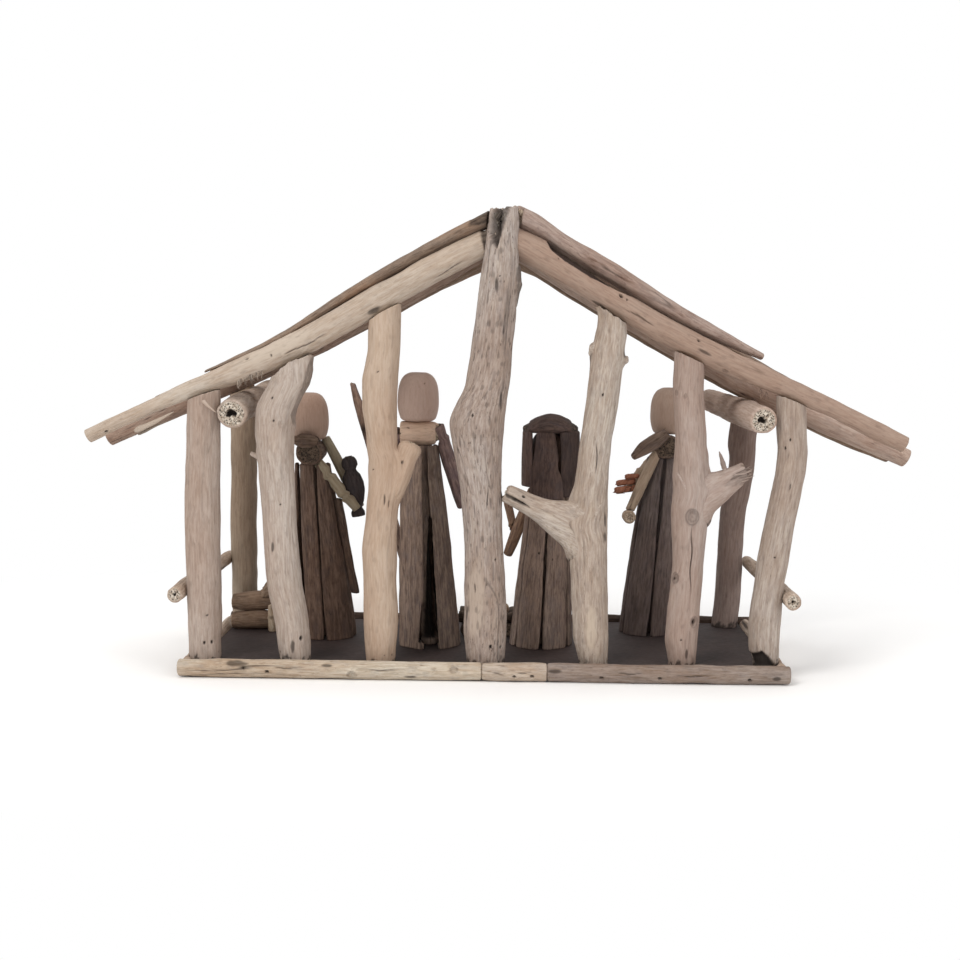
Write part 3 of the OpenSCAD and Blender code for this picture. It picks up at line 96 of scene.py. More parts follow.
def solidsOf(nodeName):
    bm = bmesh.new()
    bm.from_mesh(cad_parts[nodeName].data)
    bmesh.ops.remove_doubles(bm, verts=bm.verts, dist=2e-6)
    bm.verts.ensure_lookup_table()
    seen = {}
    solids = []
    for first in bm.verts:
        if first.index in seen:
            continue
        stack = [first]
        seen[first.index] = len(solids)
        while stack:
            for e in stack.pop().link_edges:
                for v in e.verts:
                    if v.index not in seen:
                        seen[v.index] = len(solids)
                        stack.append(v)
        solids.append(([], [], {}))
    for v in bm.verts:
        points, faces, places = solids[seen[v.index]]
        places[v.index] = len(points)
        points.append(v.co * 1000)
    for f in bm.faces:
        points, faces, places = solids[seen[f.verts[0].index]]
        faces.append([places[v.index] for v in f.verts])
    bm.free()
    return [(np.array([tuple(p) for p in points]), faces) for points, faces, places in solids]


# points shared by all sticks: how many rays find the middle, the girth and the ends
castRays = {"stations": 30, "aroundMiddle": 12, "turns": 4, "around": 36, "fewestRows": 10, "mostRows": 56}
endShares = np.array((0.93, 0.7, 0.45, 0.2, 0.0))
# where a branch runs into its post it keeps to its own taper, with a little swelling
branching = {"inner": 1.6, "slack": 1.08, "swell": 0.55, "swellRun": 1.55, "thin": 0.42,
             "thinRun": 1.1, "postCap": 1.22, "middleCap": 1.3}


def unit(way):
    return way / np.linalg.norm(way)


def stickFrame(points, look):
    # a place on the stick, the way along it and the two ways across it
    if look["radii"]:
        root = np.array(look["root"], float)
        along = unit(np.array(look["tip"], float) - root)
        across = unit(np.cross(along, (0, 1, 0)))
        return root, along, across, np.cross(along, across)
    if look["upright"]:
        return points.mean(0), np.array((0, 0, 1.0)), np.array((1.0, 0, 0)), np.array((0, 1.0, 0))
    spread = np.linalg.svd(points - points.mean(0), full_matrices=False)[2]
    along = spread[0] * np.sign(spread[0][np.argmax(np.abs(spread[0]))])
    across = unit(spread[1] - along * (spread[1] @ along))
    return points.mean(0), along, across, np.cross(along, across)


def measureStick(points, faces, look):
    start, along, across, face = stickFrame(points, look)
    local = (points - start) @ np.stack([across, face, along], 1)
    stick = {"tree": BVHTree.FromPolygons([tuple(p) for p in points], faces), "start": start,
             "along": along, "across": across, "face": face, "local": local,
             "low": local[:, 2].min(), "high": local[:, 2].max(), "half": np.ptp(local[:, :2], axis=0) / 2}
    stick["far"] = stick["half"].max() * 2 + 4
    if look["radii"]:
        rootR = look["radii"][0]
        inner = np.linalg.norm(local[:, :2], axis=1) < rootR * branching["inner"]
        stick["run"] = np.linalg.norm(np.array(look["tip"], float) - start)
        stick["low"], stick["high"] = 0.0, min(stick["run"] + rootR, local[inner, 2].max())
        stick["half"] = np.array((rootR, rootR))
    stick["length"] = stick["high"] - stick["low"]
    stick["skip"] = min(0.13 * stick["length"], 1.6 * stick["half"].min(), look["skip"])
    flat = stick["half"].min() / stick["half"].max()
    stick["aspect"] = 1 if look["radii"] or look["upright"] else np.clip(flat, 0.32, 1)
    return stick


def placed(stick, off, s):
    # the point at s along the stick, off to the side of its straight line
    return stick["start"] + off[..., :1] * stick["across"] + off[..., 1:] * stick["face"] \
        + s[..., None] * stick["along"]


def castRadius(stick, look, at, way, s):
    if not look["radii"]:
        reach = stick["far"]
        hit = stick["tree"].ray_cast(Vector(at + way * reach), Vector(-way), reach)
        return reach - hit[3] if hit[0] is not None else None
    rootR, tipR = look["radii"]
    taper = rootR + (tipR - rootR) * min(1.0, max(0.0, s / stick["run"]))
    swell = branching["swell"] * math.exp(-(s / (branching["swellRun"] * rootR)) ** 2)
    most = taper * (branching["slack"] + swell)
    hit = stick["tree"].ray_cast(Vector(at), Vector(way), most)
    return hit[3] if hit[0] is not None else most


def findMiddle(stick, look):
    # the middle line, slice by slice: each guess moves to the middle of what the rays meet
    first = stick["low"] + (0 if look["radii"] else stick["skip"])
    stick["stations"] = np.linspace(first, stick["high"] - stick["skip"], castRays["stations"])
    stick["offsets"] = np.zeros((castRays["stations"], 2))
    if look["radii"]:
        return
    count = castRays["aroundMiddle"]
    turns = [2 * math.pi * k / count for k in range(count)]
    ways = [stick["across"] * math.cos(t) + stick["face"] * math.sin(t) for t in turns]
    off = np.zeros(2)
    for i, s in enumerate(stick["stations"]):
        slab = stick["local"][np.abs(stick["local"][:, 2] - s) < stick["length"] / 10][:, :2]
        if not look["branchy"]:
            off = slab.mean(0) if len(slab) > 6 else np.zeros(2)
        for again in range(castRays["turns"]):
            at = placed(stick, off, s)
            hits = [castRadius(stick, look, at, way, s) for way in ways]
            known = [hit for hit in hits if hit is not None]
            if len(known) < count:
                off = slab.mean(0) if len(slab) else off
                continue
            cap = np.median(known) * branching["middleCap"] if look["branchy"] else 1e9
            for t, hit in zip(turns, hits):
                off = off + np.array((math.cos(t), math.sin(t))) * min(hit, cap) / count * 1.8
        stick["offsets"][i] = off


def middleAt(stick, s):
    stations = stick["stations"]
    last = len(stations) - 1
    where = np.clip((s - stations[0]) / (stations[-1] - stations[0]), 0, 1) * last
    weights = splineWeights(last + 1, np.clip(where.ravel(), 0, last - 1e-9), False)
    return (weights @ stick["offsets"]).reshape(s.shape + (2,))


def waysAround(stick, count):
    # directions round the stick, closer together at the edges of a flat slat
    turn = 2 * np.pi * np.arange(count) / count
    wide = stick["half"][0] >= stick["half"][1]
    du = np.cos(turn) * (1 if wide else stick["aspect"])
    dv = np.sin(turn) * (stick["aspect"] if wide else 1)
    size = np.hypot(du, dv)
    return turn, du / size, dv / size


def castEnd(stick, look, du, dv, s, sign):
    # how far the end face lies along the stick, on rings of smaller and smaller radius
    at = placed(stick, middleAt(stick, np.array([s])), np.array([s]))[0]
    rows = np.full((len(endShares), len(du)), np.nan)
    flat = np.zeros(rows.shape + (3,))
    for j in range(len(du)):
        way = du[j] * stick["across"] + dv[j] * stick["face"]
        r = castRadius(stick, look, at, way, s)
        r = r if r is not None else stick["half"].min()
        for k, share in enumerate(endShares):
            flat[k, j] = (du[j] * r * share, dv[j] * r * share, 1)
            if share == 0:
                continue
            start = Vector(at + way * r * share)
            hit = stick["tree"].ray_cast(start, Vector(stick["along"] * sign), stick["length"])
            if hit[0] is not None and (look["round"] or abs(hit[1].dot(Vector(stick["along"]))) > 0.5):
                rows[k, j] = s + sign * hit[3]
    good = np.isfinite(rows)
    if good.sum() > 6:
        # where a ray leaves by the side, the end goes on as the plane of the rest
        plane = np.linalg.lstsq(flat[good], rows[good], rcond=None)[0]
        rows[~good] = (flat @ plane)[~good]
    else:
        rows[:] = stick["high"] if sign > 0 else stick["low"]
    rows[-1] = rows[-2].mean()
    return np.clip(rows, stick["low"] - 0.01, stick["high"] + 0.01)


def castSides(stick, look):
    turn, du, dv = waysAround(stick, castRays["around"])
    ways = du[:, None] * stick["across"] + dv[:, None] * stick["face"]
    high = castEnd(stick, look, du, dv, stick["high"] - stick["skip"], 1)
    low = np.zeros_like(high)
    if not look["radii"]:
        low = castEnd(stick, look, du, dv, stick["low"] + stick["skip"], -1)
    rowCount = max(castRays["fewestRows"], min(castRays["mostRows"], int(stick["length"] / look["rows"])))
    shares = (np.arange(rowCount) + 0.02) / (rowCount - 0.96)
    radii = np.zeros((rowCount, len(du)))
    for i, share in enumerate(shares):
        s = low[0] + (high[0] - low[0]) * share
        at = placed(stick, middleAt(stick, s), s)
        found = [castRadius(stick, look, at[j], ways[j], s[j]) for j in range(len(du))]
        row = np.array([np.nan if r is None else r for r in found])
        if look["radii"]:
            # the branch widens along the post towards its root, and gets thinner across it
            flare, reach = look["flare"]
            thinRun = branching["thinRun"] * look["radii"][0]
            row = row + flare * np.exp(-(s / reach) ** 2) * np.cos(turn) ** 2
            row = row * (1 - branching["thin"] * np.exp(-(s / thinRun) ** 2) * np.sin(turn) ** 2)
        else:
            bad = np.isnan(row)
            row[bad] = np.median(row[~bad]) if (~bad).any() else stick["half"].min()
            if look["branchy"]:
                row = np.minimum(row, np.median(row) * branching["postCap"])
        radii[i] = row
    for again in range(look["soften"]):
        radii = (np.roll(radii, 1, 1) + 2 * radii + np.roll(radii, -1, 1)) / 4
    stick.update(shares=shares, radii=radii, lowEnd=low, highEnd=high)


def raggedEnd(end, rim, du, dv, amount, sign, seed):
    # broken fibres: each place of the end stands back by its own amount
    for k, share in enumerate(endShares):
        q = np.stack([du * rim * share / 2.6, dv * rim * share / 2.6, np.full(len(du), seed[0] * 3.1)], 1)
        broken = 0.5 + 0.5 * fractal(q, seed[1], 3)
        end[k] += sign * amount * broken * (1.0 if share > 0.1 else 0.6)


def denseSkin(stick, look):
    half, length, bevel, seed = stick["half"], stick["length"], look["bevel"], look["seed"]
    step = look["step"] * 1.0
    around = int(max(24, 2 * np.pi * math.hypot(*half) / math.sqrt(2) / step))
    along = int(max(12, length / (step * look["stretch"])))
    edge = np.array([0, 0.06, 0.16, 0.3, 0.5, 0.75]) * bevel / length
    t = np.concatenate([edge, np.linspace(bevel / length, 1 - bevel / length, along), 1 - edge[::-1]])
    shares, castCount = stick["shares"], stick["radii"].shape[1]
    rows = np.clip((t - shares[0]) / (shares[-1] - shares[0]), 0, 1) * (len(shares) - 1)
    alongWeights = splineWeights(len(shares), rows, False)
    aroundWeights = splineWeights(castCount, np.arange(around) / around * castCount, True)
    r = alongWeights @ stick["radii"] @ aroundWeights.T
    low, high = stick["lowEnd"] @ aroundWeights.T, stick["highEnd"] @ aroundWeights.T
    turn, du, dv = waysAround(stick, around)
    if look["ragged"][0] and not look["radii"]:
        raggedEnd(low, r[0], du, dv, look["ragged"][0], 1, (seed, seed))
    if look["ragged"][1]:
        raggedEnd(high, r[-1], du, dv, look["ragged"][1], -1, (seed, seed + 5))
    low, high = low - look["extend"][0], high + look["extend"][1]
    s = low[0] + (high[0] - low[0]) * t[:, None]
    # the rims of the ends are rounded over
    fromEnd = np.minimum(1e6 if look["radii"] else s - low[0], high[0] - s)
    b = np.minimum(bevel, r * 0.6)
    x = np.clip(fromEnd, 0, b)
    r = r - (b - np.sqrt(np.maximum(b * b - (b - x) ** 2, 0)))
    grain = np.stack([du * r, dv * r, s + 0 * r], -1)
    # a slat is made thicker or thinner upward from its seat, and may bow off it
    thick = np.interp(t, (0, 0.5, 1), look["thick"])[:, None]
    first, last, rise = look["bow"]
    bow = rise * np.sin(np.clip((t - first) / (last - first), 0, 1) * np.pi)[:, None] ** 2
    lift = ((thick - 1) * half.min() + bow) * (1 if stick["face"][2] >= 0 else -1)
    r = r * (1 + (look["wide"] - 1) * np.abs(du))
    # and its ends may be set back from the near side
    backLow, backHigh, backRun = look["back"]
    back = backLow * np.exp(-((s - low[0]) / backRun) ** 2) \
        + backHigh * np.exp(-((high[0] - s) / backRun) ** 2)
    across, face = stick["across"], stick["face"]
    pos = placed(stick, middleAt(stick, s), s) + (du * r)[..., None] * across \
        + (dv * r * thick + lift)[..., None] * face + back[..., None] * np.array((0, 1, 0))
    out = du[None, :, None] * across + dv[None, :, None] * face + np.zeros(pos.shape)
    parts = [(pos, grain, out, np.zeros(r.shape))]
    # end faces, in rings towards their middle
    ringCount = max(5, int(half.min() / (step * 0.9)))
    share = 1 - (np.arange(ringCount) + 1) / ringCount * 0.985
    for which, end, sign in ((0, low, -1), (-1, high, 1)):
        level = np.stack([np.interp(share, endShares[::-1], end[::-1, j]) for j in range(around)], 1)
        level = np.where(share[:, None] > endShares[0], end[0][None, :], level)
        ringR = share[:, None] * r[which][None, :]
        pos = placed(stick, middleAt(stick, level), level) + (du * ringR)[..., None] * across \
            + (dv * ringR * thick[which] + lift[which])[..., None] * face \
            + np.array((0, (backLow, backHigh)[which], 0))
        grain = np.stack([du * ringR, dv * ringR, level], -1)
        parts.append((pos, grain, np.zeros(pos.shape) + sign * stick["along"], np.ones(ringR.shape)))
    body, bottom, top = parts
    pos, grain, out, end = (np.concatenate([bottom[k][::-1], body[k], top[k]], 0) for k in range(4))
    return {"pos": pos, "grain": grain, "out": out, "end": end, "axis": stick["along"], "seed": seed}


def wrapSolid(points, faces, look):
    stick = measureStick(points, faces, look)
    findMiddle(stick, look)
    castSides(stick, look)
    return denseSkin(stick, look)


def wrapEgg(points, faces, look):
    # a head is met by rays from its middle
    tree = BVHTree.FromPolygons([tuple(p) for p in points], faces)
    middle = (points.min(0) + points.max(0)) / 2
    width, height = np.ptp(points[:, 0]), np.ptp(points[:, 2])
    step = look["step"] * 1.0
    around = int(2 * np.pi * width / 2 / step)
    rows = int(np.pi * height / 2 / step)
    rise = np.linspace(-0.497, 0.497, rows)[:, None] * np.pi
    turn = 2 * np.pi * np.arange(around)[None, :] / around
    out = np.stack([np.cos(rise) * np.cos(turn), np.cos(rise) * np.sin(turn), np.sin(rise) + 0 * turn], -1)
    reach = np.zeros(out.shape[:2])
    for i in range(rows):
        reach[i] = tree.ray_cast(Vector(middle), Vector(out[i, 0]))[3]
    for again in range(look["soften"]):
        reach[1:-1] = (reach[:-2] + 2 * reach[1:-1] + reach[2:]) / 4
    pos = middle + out * reach[..., None]
    # its dome is a little flatter than an egg's
    level = np.clip(np.abs(pos[..., 2] - middle[2]) / (height / 2), 0, 0.88)
    fuller = (1 - level ** look["square"]) ** (1 / look["square"]) / np.sqrt(1 - level ** 2)
    pos[..., :2] = middle[:2] + (pos[..., :2] - middle[:2]) * fuller[..., None]
    return {"pos": pos, "grain": pos - middle, "out": out, "end": np.zeros(reach.shape),
            "axis": np.array((0, 0, 1.0)), "seed": look["seed"]}


def outlineDepth(x, z, outline):
    # how far a point lies inside a closed outline, negative outside
    inside = np.zeros(x.shape, bool)
    least = np.full(x.shape, 1e9)
    for (ax, az), (bx, bz) in zip(outline, outline[1:] + outline[:1]):
        t = np.clip(((x - ax) * (bx - ax) + (z - az) * (bz - az)) / ((bx - ax) ** 2 + (bz - az) ** 2), 0, 1)
        least = np.minimum(least, np.hypot(x - ax - t * (bx - ax), z - az - t * (bz - az)))
        inside ^= ((az > z) != (bz > z)) & (x < (bx - ax) * (z - az) / (bz - az + 1e-9) + ax)
    return np.where(inside, least, -least)


def pithHole(skin, mark):
    # the black hole in the middle of a cut end
    g, size = skin["grain"], mark[3]
    turn = np.arctan2(g[..., 1], g[..., 0])
    edge = size * (1 + 0.22 * np.cos(turn * 2 + mark[1]) + 0.16 * np.sin(turn * 3 + mark[2]))
    inside = (1 - smoothStep(edge * 0.75, edge, np.hypot(g[..., 0], g[..., 1]))) * skin["end"]
    if len(mark) > 4:
        inside = inside * ((skin["out"] * mark[4]).sum(-1) > 0)
    return inside * -size * 1.6, inside


def outlinedPatch(skin, mark):
    # a dent, darkening and paling inside an outline: broken bark, and painted shade in gaps and behind the
    # veil
    outline, depth, darkness, paleness = mark[1:]
    pos, seed = skin["pos"], skin["seed"]
    reach = outlineDepth(pos[..., 0], pos[..., 2], outline)
    rough = 0.6 * fractal(pos / 2.4, seed + 81, 3)
    inside = smoothStep(-0.2, 1.0, reach + 0.35 * rough) * (skin["out"][..., 1] < 0.6)
    rise = -inside * (depth * np.clip(0.45 + 0.25 * reach, 0, 1.15) + abs(depth) * 0.12 * rough)
    return rise, inside * np.clip(darkness + 0.22 * rough, 0, 1), inside * paleness


def weather(skin, look, marks):
    # marks: ("hole", x, z, radius), ("knot", x, z, radius, strength),
    # ("patch", outline, depth, darkness, paleness), ("bulge", x, z, across, along, height),
    # ("slit" or "stain" or "bare", x, z, half width, half length), ("pith", turn, turn, radius, which end)
    g, n, end, pos = skin["grain"], skin["out"], skin["end"], skin["pos"]
    seed = skin["seed"]
    side = 1 - end
    across = np.array((1, 1, 0)) + np.array((0, 0, 1)) / look["run"]
    lump = look["lump"] * fractal(g / (look["lumpSize"] * np.array((1, 1, 2.4))), seed, 2)
    groove = look["groove"] * fractal(g * across / look["grooveSize"], seed + 11, 3)
    line = np.abs(noise(g * across / look["crackSize"] + 3.7, seed + 23))
    where = smoothStep(0.05, 0.45, fractal(g * np.array((1, 1, 0.35)) / 18 + 1.3, seed + 31, 2))
    crack = (1 - smoothStep(0.0, 0.07, line)) * where
    pits = smoothStep(0.35, 0.75, noise(g * np.array((1, 1, 0.3)) / 1.7, seed + 41)) * look["pits"]
    h = (lump + groove - look["crack"] * crack - 0.35 * pits) * side
    h = h + end * (look["endRough"] * fractal(g / 1.5, seed + 51, 3))
    dark = np.clip((crack * 0.85 * min(1, look["crack"] * 2) + pits * 0.5) * side, 0, 1)
    pale = np.zeros(dark.shape)
    grain = g.copy()
    # a ragged dark band at the foot of each post: painted contact shade where it stands on the board
    if look["foot"]:
        rise = pos[..., 2] - pos[..., 2].min() - 1.6 * fractal(pos / 3.2, seed + 91, 3) * look["foot"]
        dark = np.maximum(dark, 0.85 * (1 - smoothStep(0.4 * look["foot"], 1.5 * look["foot"], rise)))
    for mark in marks:
        kind = mark[0]
        if kind == "pith":
            rise, inside = pithHole(skin, mark)
            h, dark = h + rise, np.maximum(dark, inside)
            continue
        if kind == "patch":
            rise, darker, paler = outlinedPatch(skin, mark)
            h, dark, pale = h + rise, np.maximum(dark, darker), np.maximum(pale, paler)
            continue
        # the other marks sit on the nearest point of the near side
        mx, mz, size = mark[1:4]
        gap = (pos[..., 0] - mx) ** 2 + (pos[..., 2] - mz) ** 2 + np.where(n[..., 1] < 0.35, 0, 1e6)
        at = np.unravel_index(np.argmin(gap), gap.shape)
        if gap[at] > 400:
            continue
        delta = pos - pos[at]
        run = delta @ skin["axis"]
        rest = np.linalg.norm(delta - run[..., None] * skin["axis"], axis=-1)
        if kind == "hole":
            q = np.sqrt((run / size / 1.15) ** 2 + (rest / size) ** 2)
            m = 1 - smoothStep(0.75, 1.1, q)
            h = h - m * size * 1.5
            dark = np.maximum(dark, m)
        elif kind == "slit":
            # a crack along the grain, wavering a little
            aside = delta @ np.cross(skin["axis"], n[at]) + 0.5 * np.sin(run * 0.23 + mx)
            q = np.sqrt((run / mark[4]) ** 2 + (aside / size) ** 2) + smoothStep(6, 9, rest)
            m = 1 - smoothStep(0.5, 1.15, q)
            h = h - m
            dark = np.maximum(dark, m * 0.75)
        elif kind == "knot":
            # a raised ring round a hollow, and the grain sways round it
            q = np.sqrt((run / size / 1.25) ** 2 + (rest / size) ** 2)
            h = h + 0.1925 * size * np.exp(-((q - 1.0) / 0.33) ** 2) - 0.2 * size * np.exp(-(q / 0.55) ** 2)
            rings = 0.5 + 0.5 * np.sin(q * 11 + 2 * fractal(pos / 4, seed + 61, 2))
            dark = np.maximum(dark, (0.22 + 0.22 * rings) * (1 - smoothStep(0.85, 1.15, q)) * mark[4])
            dark = np.maximum(dark, 0.5 * np.exp(-((q - 1.0) / 0.14) ** 2) * mark[4])
            sway = np.exp(-(q / 2.2) ** 2)
            grain[..., 2] = grain[..., 2] + run * sway * 1.5
            grain[..., 0] = grain[..., 0] * (1 - 0.3 * sway)
        else:
            q = np.sqrt((run / mark[4]) ** 2 + (rest / size) ** 2)
        if kind == "stain":
            edge = q + 0.25 * fractal(pos / 5, seed + 71, 2)
            dark = np.maximum(dark, 0.75 * (1 - smoothStep(0.6, 1.2, edge)))
        elif kind == "bare":
            edge = q + 0.2 * fractal(pos / 6, seed + 73, 2)
            pale = np.maximum(pale, 1 - smoothStep(0.5, 1.15, edge))
        elif kind == "bulge":
            h = h + mark[5] * np.exp(-q * q)
    pos = pos + n * h[..., None]
    pos[..., 2] = np.maximum(pos[..., 2], 0)
    skin.update(pos=pos, grain=grain, marks=np.stack([dark, pale, end], -1))
    return skin


def strand(path, width, thickness, shade, seed):
    # a thin splinter or hair along a path of points, widest at its root; shade is its darkness and paleness
    path = np.array(path, float)
    count, around = 14, 8
    t = np.linspace(0, 1, count)
    knots = np.linspace(0, 1, len(path))
    mid = np.stack([np.interp(t, knots, path[:, k]) for k in range(3)], 1)
    for again in range(2):
        mid[1:-1] = (mid[:-2] + 2 * mid[1:-1] + mid[2:]) / 4
    along = np.gradient(mid, axis=0)
    along /= np.linalg.norm(along, axis=1)[:, None]
    side = np.cross(along, (0, 1, 0))
    side /= np.linalg.norm(side, axis=1)[:, None]
    face = np.cross(side, along)
    turn = 2 * np.pi * np.arange(around) / around
    uneven = 1 + 0.15 * noise(np.stack([t * 7, t * 0, t * 0 + seed], 1), seed)
    w = ((1 - 0.85 * t ** 1.4) * uneven)[:, None]
    w[0], w[-1] = w[0] * 0.5, w[-1] * 0.4
    du, dv = np.cos(turn) * w * width / 2, np.sin(turn) * w * thickness / 2
    pos = mid[:, None] + du[..., None] * side[:, None] + dv[..., None] * face[:, None]
    run = np.concatenate([[0], np.cumsum(np.linalg.norm(np.diff(mid, axis=0), axis=1))])
    grain = np.stack([du + seed, dv, run[:, None] + 0 * du], -1)
    marks = np.zeros(pos.shape) + np.array((shade[0], shade[1], 0))
    return {"pos": pos, "grain": grain, "marks": marks, "end": np.zeros(du.shape), "tint": 1.0}


def addPiece(name, skins, material, replaced):
    quads, fans, base = [], [], 0
    for skin in skins:
        rows, cols = skin["end"].shape
        index = base + np.arange(rows * cols).reshape(rows, cols)
        beside = np.roll(index, -1, 1)
        quads.append(np.stack([index[:-1], beside[:-1], beside[1:], index[1:]], -1).reshape(-1, 4))
        # the holes left at the two ends are closed with one polygon each
        fans += [index[0][::-1], index[-1]]
        base += rows * cols
    quads = np.concatenate(quads)
    loops = np.concatenate([quads.ravel()] + fans)
    fanStarts = len(quads) * 4 + np.cumsum([0] + [len(f) for f in fans[:-1]])
    starts = np.concatenate([np.arange(len(quads)) * 4, fanStarts])
    mesh = bpy.data.meshes.new(name)
    mesh.vertices.add(base)
    coords = np.concatenate([skin["pos"].reshape(-1, 3) for skin in skins]) * 0.001
    mesh.vertices.foreach_set("co", coords.astype(np.float32).ravel())
    mesh.loops.add(len(loops))
    mesh.loops.foreach_set("vertex_index", loops.astype(np.int32))
    mesh.polygons.add(len(starts))
    mesh.polygons.foreach_set("loop_start", starts.astype(np.int32))
    mesh.update(calc_edges=True)
    mesh.validate()
    mesh.shade_smooth()
    for label in ("grain", "marks"):
        values = np.concatenate([skin[label].reshape(-1, 3) for skin in skins])
        layer = mesh.attributes.new(label, "FLOAT_VECTOR", "POINT")
        layer.data.foreach_set("vector", values.astype(np.float32).ravel())
    tints = np.concatenate([np.full(skin["end"].size, skin["tint"]) for skin in skins])
    mesh.attributes.new("tint", "FLOAT", "POINT").data.foreach_set("value", tints.astype(np.float32))
    piece = bpy.data.objects.new(name, mesh)
    bpy.context.scene.collection.objects.link(piece)
    mesh.materials.append(material)
    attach(piece, "root")
    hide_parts(replaced)
    return piece


# wood, driven by the grain, marks and tint stored on the mesh
def woodMaterial(name, look):
    mat = bpy.data.materials.new(name)
    mat.use_nodes = True
    nodes, links = mat.node_tree.nodes, mat.node_tree.links
    nodes.clear()

    def feed(socket, value):
        if hasattr(value, "is_output"):
            links.new(value, socket)
        else:
            socket.default_value = value

    def attribute(label):
        made = nodes.new("ShaderNodeAttribute")
        made.attribute_name = label
        return made.outputs

    def mixColour(factor, first, second, blend="MIX"):
        m = nodes.new("ShaderNodeMix")
        m.data_type, m.blend_type = "RGBA", blend
        for socket, value in ((m.inputs[0], factor), (m.inputs[6], first), (m.inputs[7], second)):
            feed(socket, value)
        return m.outputs[2]

    def maths(operation, first, second):
        m = nodes.new("ShaderNodeMath")
        m.operation = operation
        for socket, value in zip(m.inputs, (first, second)):
            feed(socket, value)
        return m.outputs[0]

    def stretched(source, scale, move):
        m = nodes.new("ShaderNodeMapping")
        m.inputs["Location"].default_value = move
        m.inputs["Scale"].default_value = scale
        links.new(source, m.inputs["Vector"])
        return m.outputs[0]

    def cloud(source, scale, detail, roughness):
        m = nodes.new("ShaderNodeTexNoise")
        for key, value in (("Scale", scale), ("Detail", detail), ("Roughness", roughness)):
            m.inputs[key].default_value = value
        links.new(source, m.inputs["Vector"])
        return m.outputs["Fac"]

    def band(value, lo, hi, outLo=0.0, outHi=1.0):
        m = nodes.new("ShaderNodeMapRange")
        m.interpolation_type = "SMOOTHSTEP"
        links.new(value, m.inputs[0])
        for k, number in enumerate((lo, hi, outLo, outHi)):
            m.inputs[k + 1].default_value = number
        return m.outputs[0]

    coords = attribute("grain")["Vector"]
    split = nodes.new("ShaderNodeSeparateXYZ")
    links.new(attribute("marks")["Vector"], split.inputs[0])
    dark, pale, end = split.outputs
    seed = look["seed"]
    shift = (seed * 7.7, seed * 13.1, seed * 29.3)
    # noise drawn out along the grain, from long fibres to round blotches
    streak = cloud(stretched(coords, (1, 1, 0.1), shift), 0.7, 6, 0.66)
    hairs = cloud(stretched(coords, (1, 1, 0.13), shift), 1.5, 5, 0.75)
    flecks = cloud(stretched(coords, (1, 1, 0.22), shift), 0.85, 4, 0.62)
    blotch = stretched(coords, (1, 1, 0.4), shift)
    stain = cloud(blotch, 0.05, 4, 0.55)
    mottle = cloud(blotch, 0.22, 4, 0.6)
    fleck = band(flecks, 0.62, 0.66, 0, look["fleck"])

    base = mixColour(band(streak, 0.38, 0.62), look["mid"], look["light"])
    base = mixColour(band(stain, 0.4, 0.68, 0, look["stainAmount"]), base, look["stain"])
    base = mixColour(band(mottle, 0.5, 0.64, 0, look["mottleAmount"]), base, look["grey"])
    base = mixColour(band(mottle, 0.32, 0.46, look["mottleAmount"] * 0.8, 0), base, look["bare"])
    base = mixColour(band(streak, 0.30, 0.42, look["lineAmount"], 0), base, look["dark"])
    base = mixColour(band(hairs, 0.32, 0.56, look["hairAmount"], 0), base, look["dark"])
    base = mixColour(band(hairs, 0.54, 0.7, 0, look["hairAmount"] * 1.3), base, look["bare"])
    base = mixColour(fleck, base, look["dark"])
    base = mixColour(maths("MULTIPLY", pale, 0.75), base, look["bare"])
    # faint warm and cool areas, each stick its own
    warm = cloud(stretched(coords, (0.6, 0.6, 0.25), (seed * 3.3, seed * 5.1, seed * 9.7)), 0.035, 2, 0.5)
    base = mixColour(band(warm, 0.38, 0.62, 0.0, look["patchy"]), base, look["warm"], "MULTIPLY")

    # cut and broken ends: pale, with open pores
    pores = nodes.new("ShaderNodeTexVoronoi")
    pores.inputs["Scale"].default_value = look["poreScale"]
    links.new(coords, pores.inputs["Vector"])
    pore = band(pores.outputs["Distance"], 0.3, 0.46, 1, 0)
    keep = band(cloud(coords, 0.9, 2, 0.5), 0.36, 0.46)
    pore = maths("MULTIPLY", pore, keep)
    endColour = mixColour(band(cloud(coords, 0.5, 3, 0.6), 0.35, 0.65), look["endDark"], look["endLight"])
    endColour = mixColour(maths("MULTIPLY", pore, look["poreDark"]), endColour, look["hollow"])
    base = mixColour(end, base, endColour)
    base = mixColour(1.0, base, attribute("tint")["Color"], "MULTIPLY")
    # dark marks take the hollow colour: stains, knots, cracks and holes, and painted shade at post feet, in
    # gaps and behind the veil
    base = mixColour(maths("MULTIPLY", dark, 0.95), base, look["hollow"])

    height = maths("ADD", maths("MULTIPLY", streak, 0.8), maths("MULTIPLY", hairs, 0.5))
    height = maths("SUBTRACT", height, maths("MULTIPLY", fleck, 0.6))
    height = maths("SUBTRACT", height, maths("MULTIPLY", maths("MULTIPLY", pore, end), 1.2))
    bump = nodes.new("ShaderNodeBump")
    bump.inputs["Strength"].default_value = look["bump"]
    bump.inputs["Distance"].default_value = 0.0006
    links.new(height, bump.inputs["Height"])
    shader = nodes.new("ShaderNodeBsdfPrincipled")
    links.new(base, shader.inputs["Base Color"])
    shine = band(streak, 0.3, 0.7, look["rough"] + 0.08, look["rough"] - 0.06)
    links.new(shine, shader.inputs["Roughness"])
    shader.inputs["Specular IOR Level"].default_value = 0.25
    links.new(bump.outputs[0], shader.inputs["Normal"])
    out = nodes.new("ShaderNodeOutputMaterial")
    links.new(shader.outputs[0], out.inputs[0])
    return mat


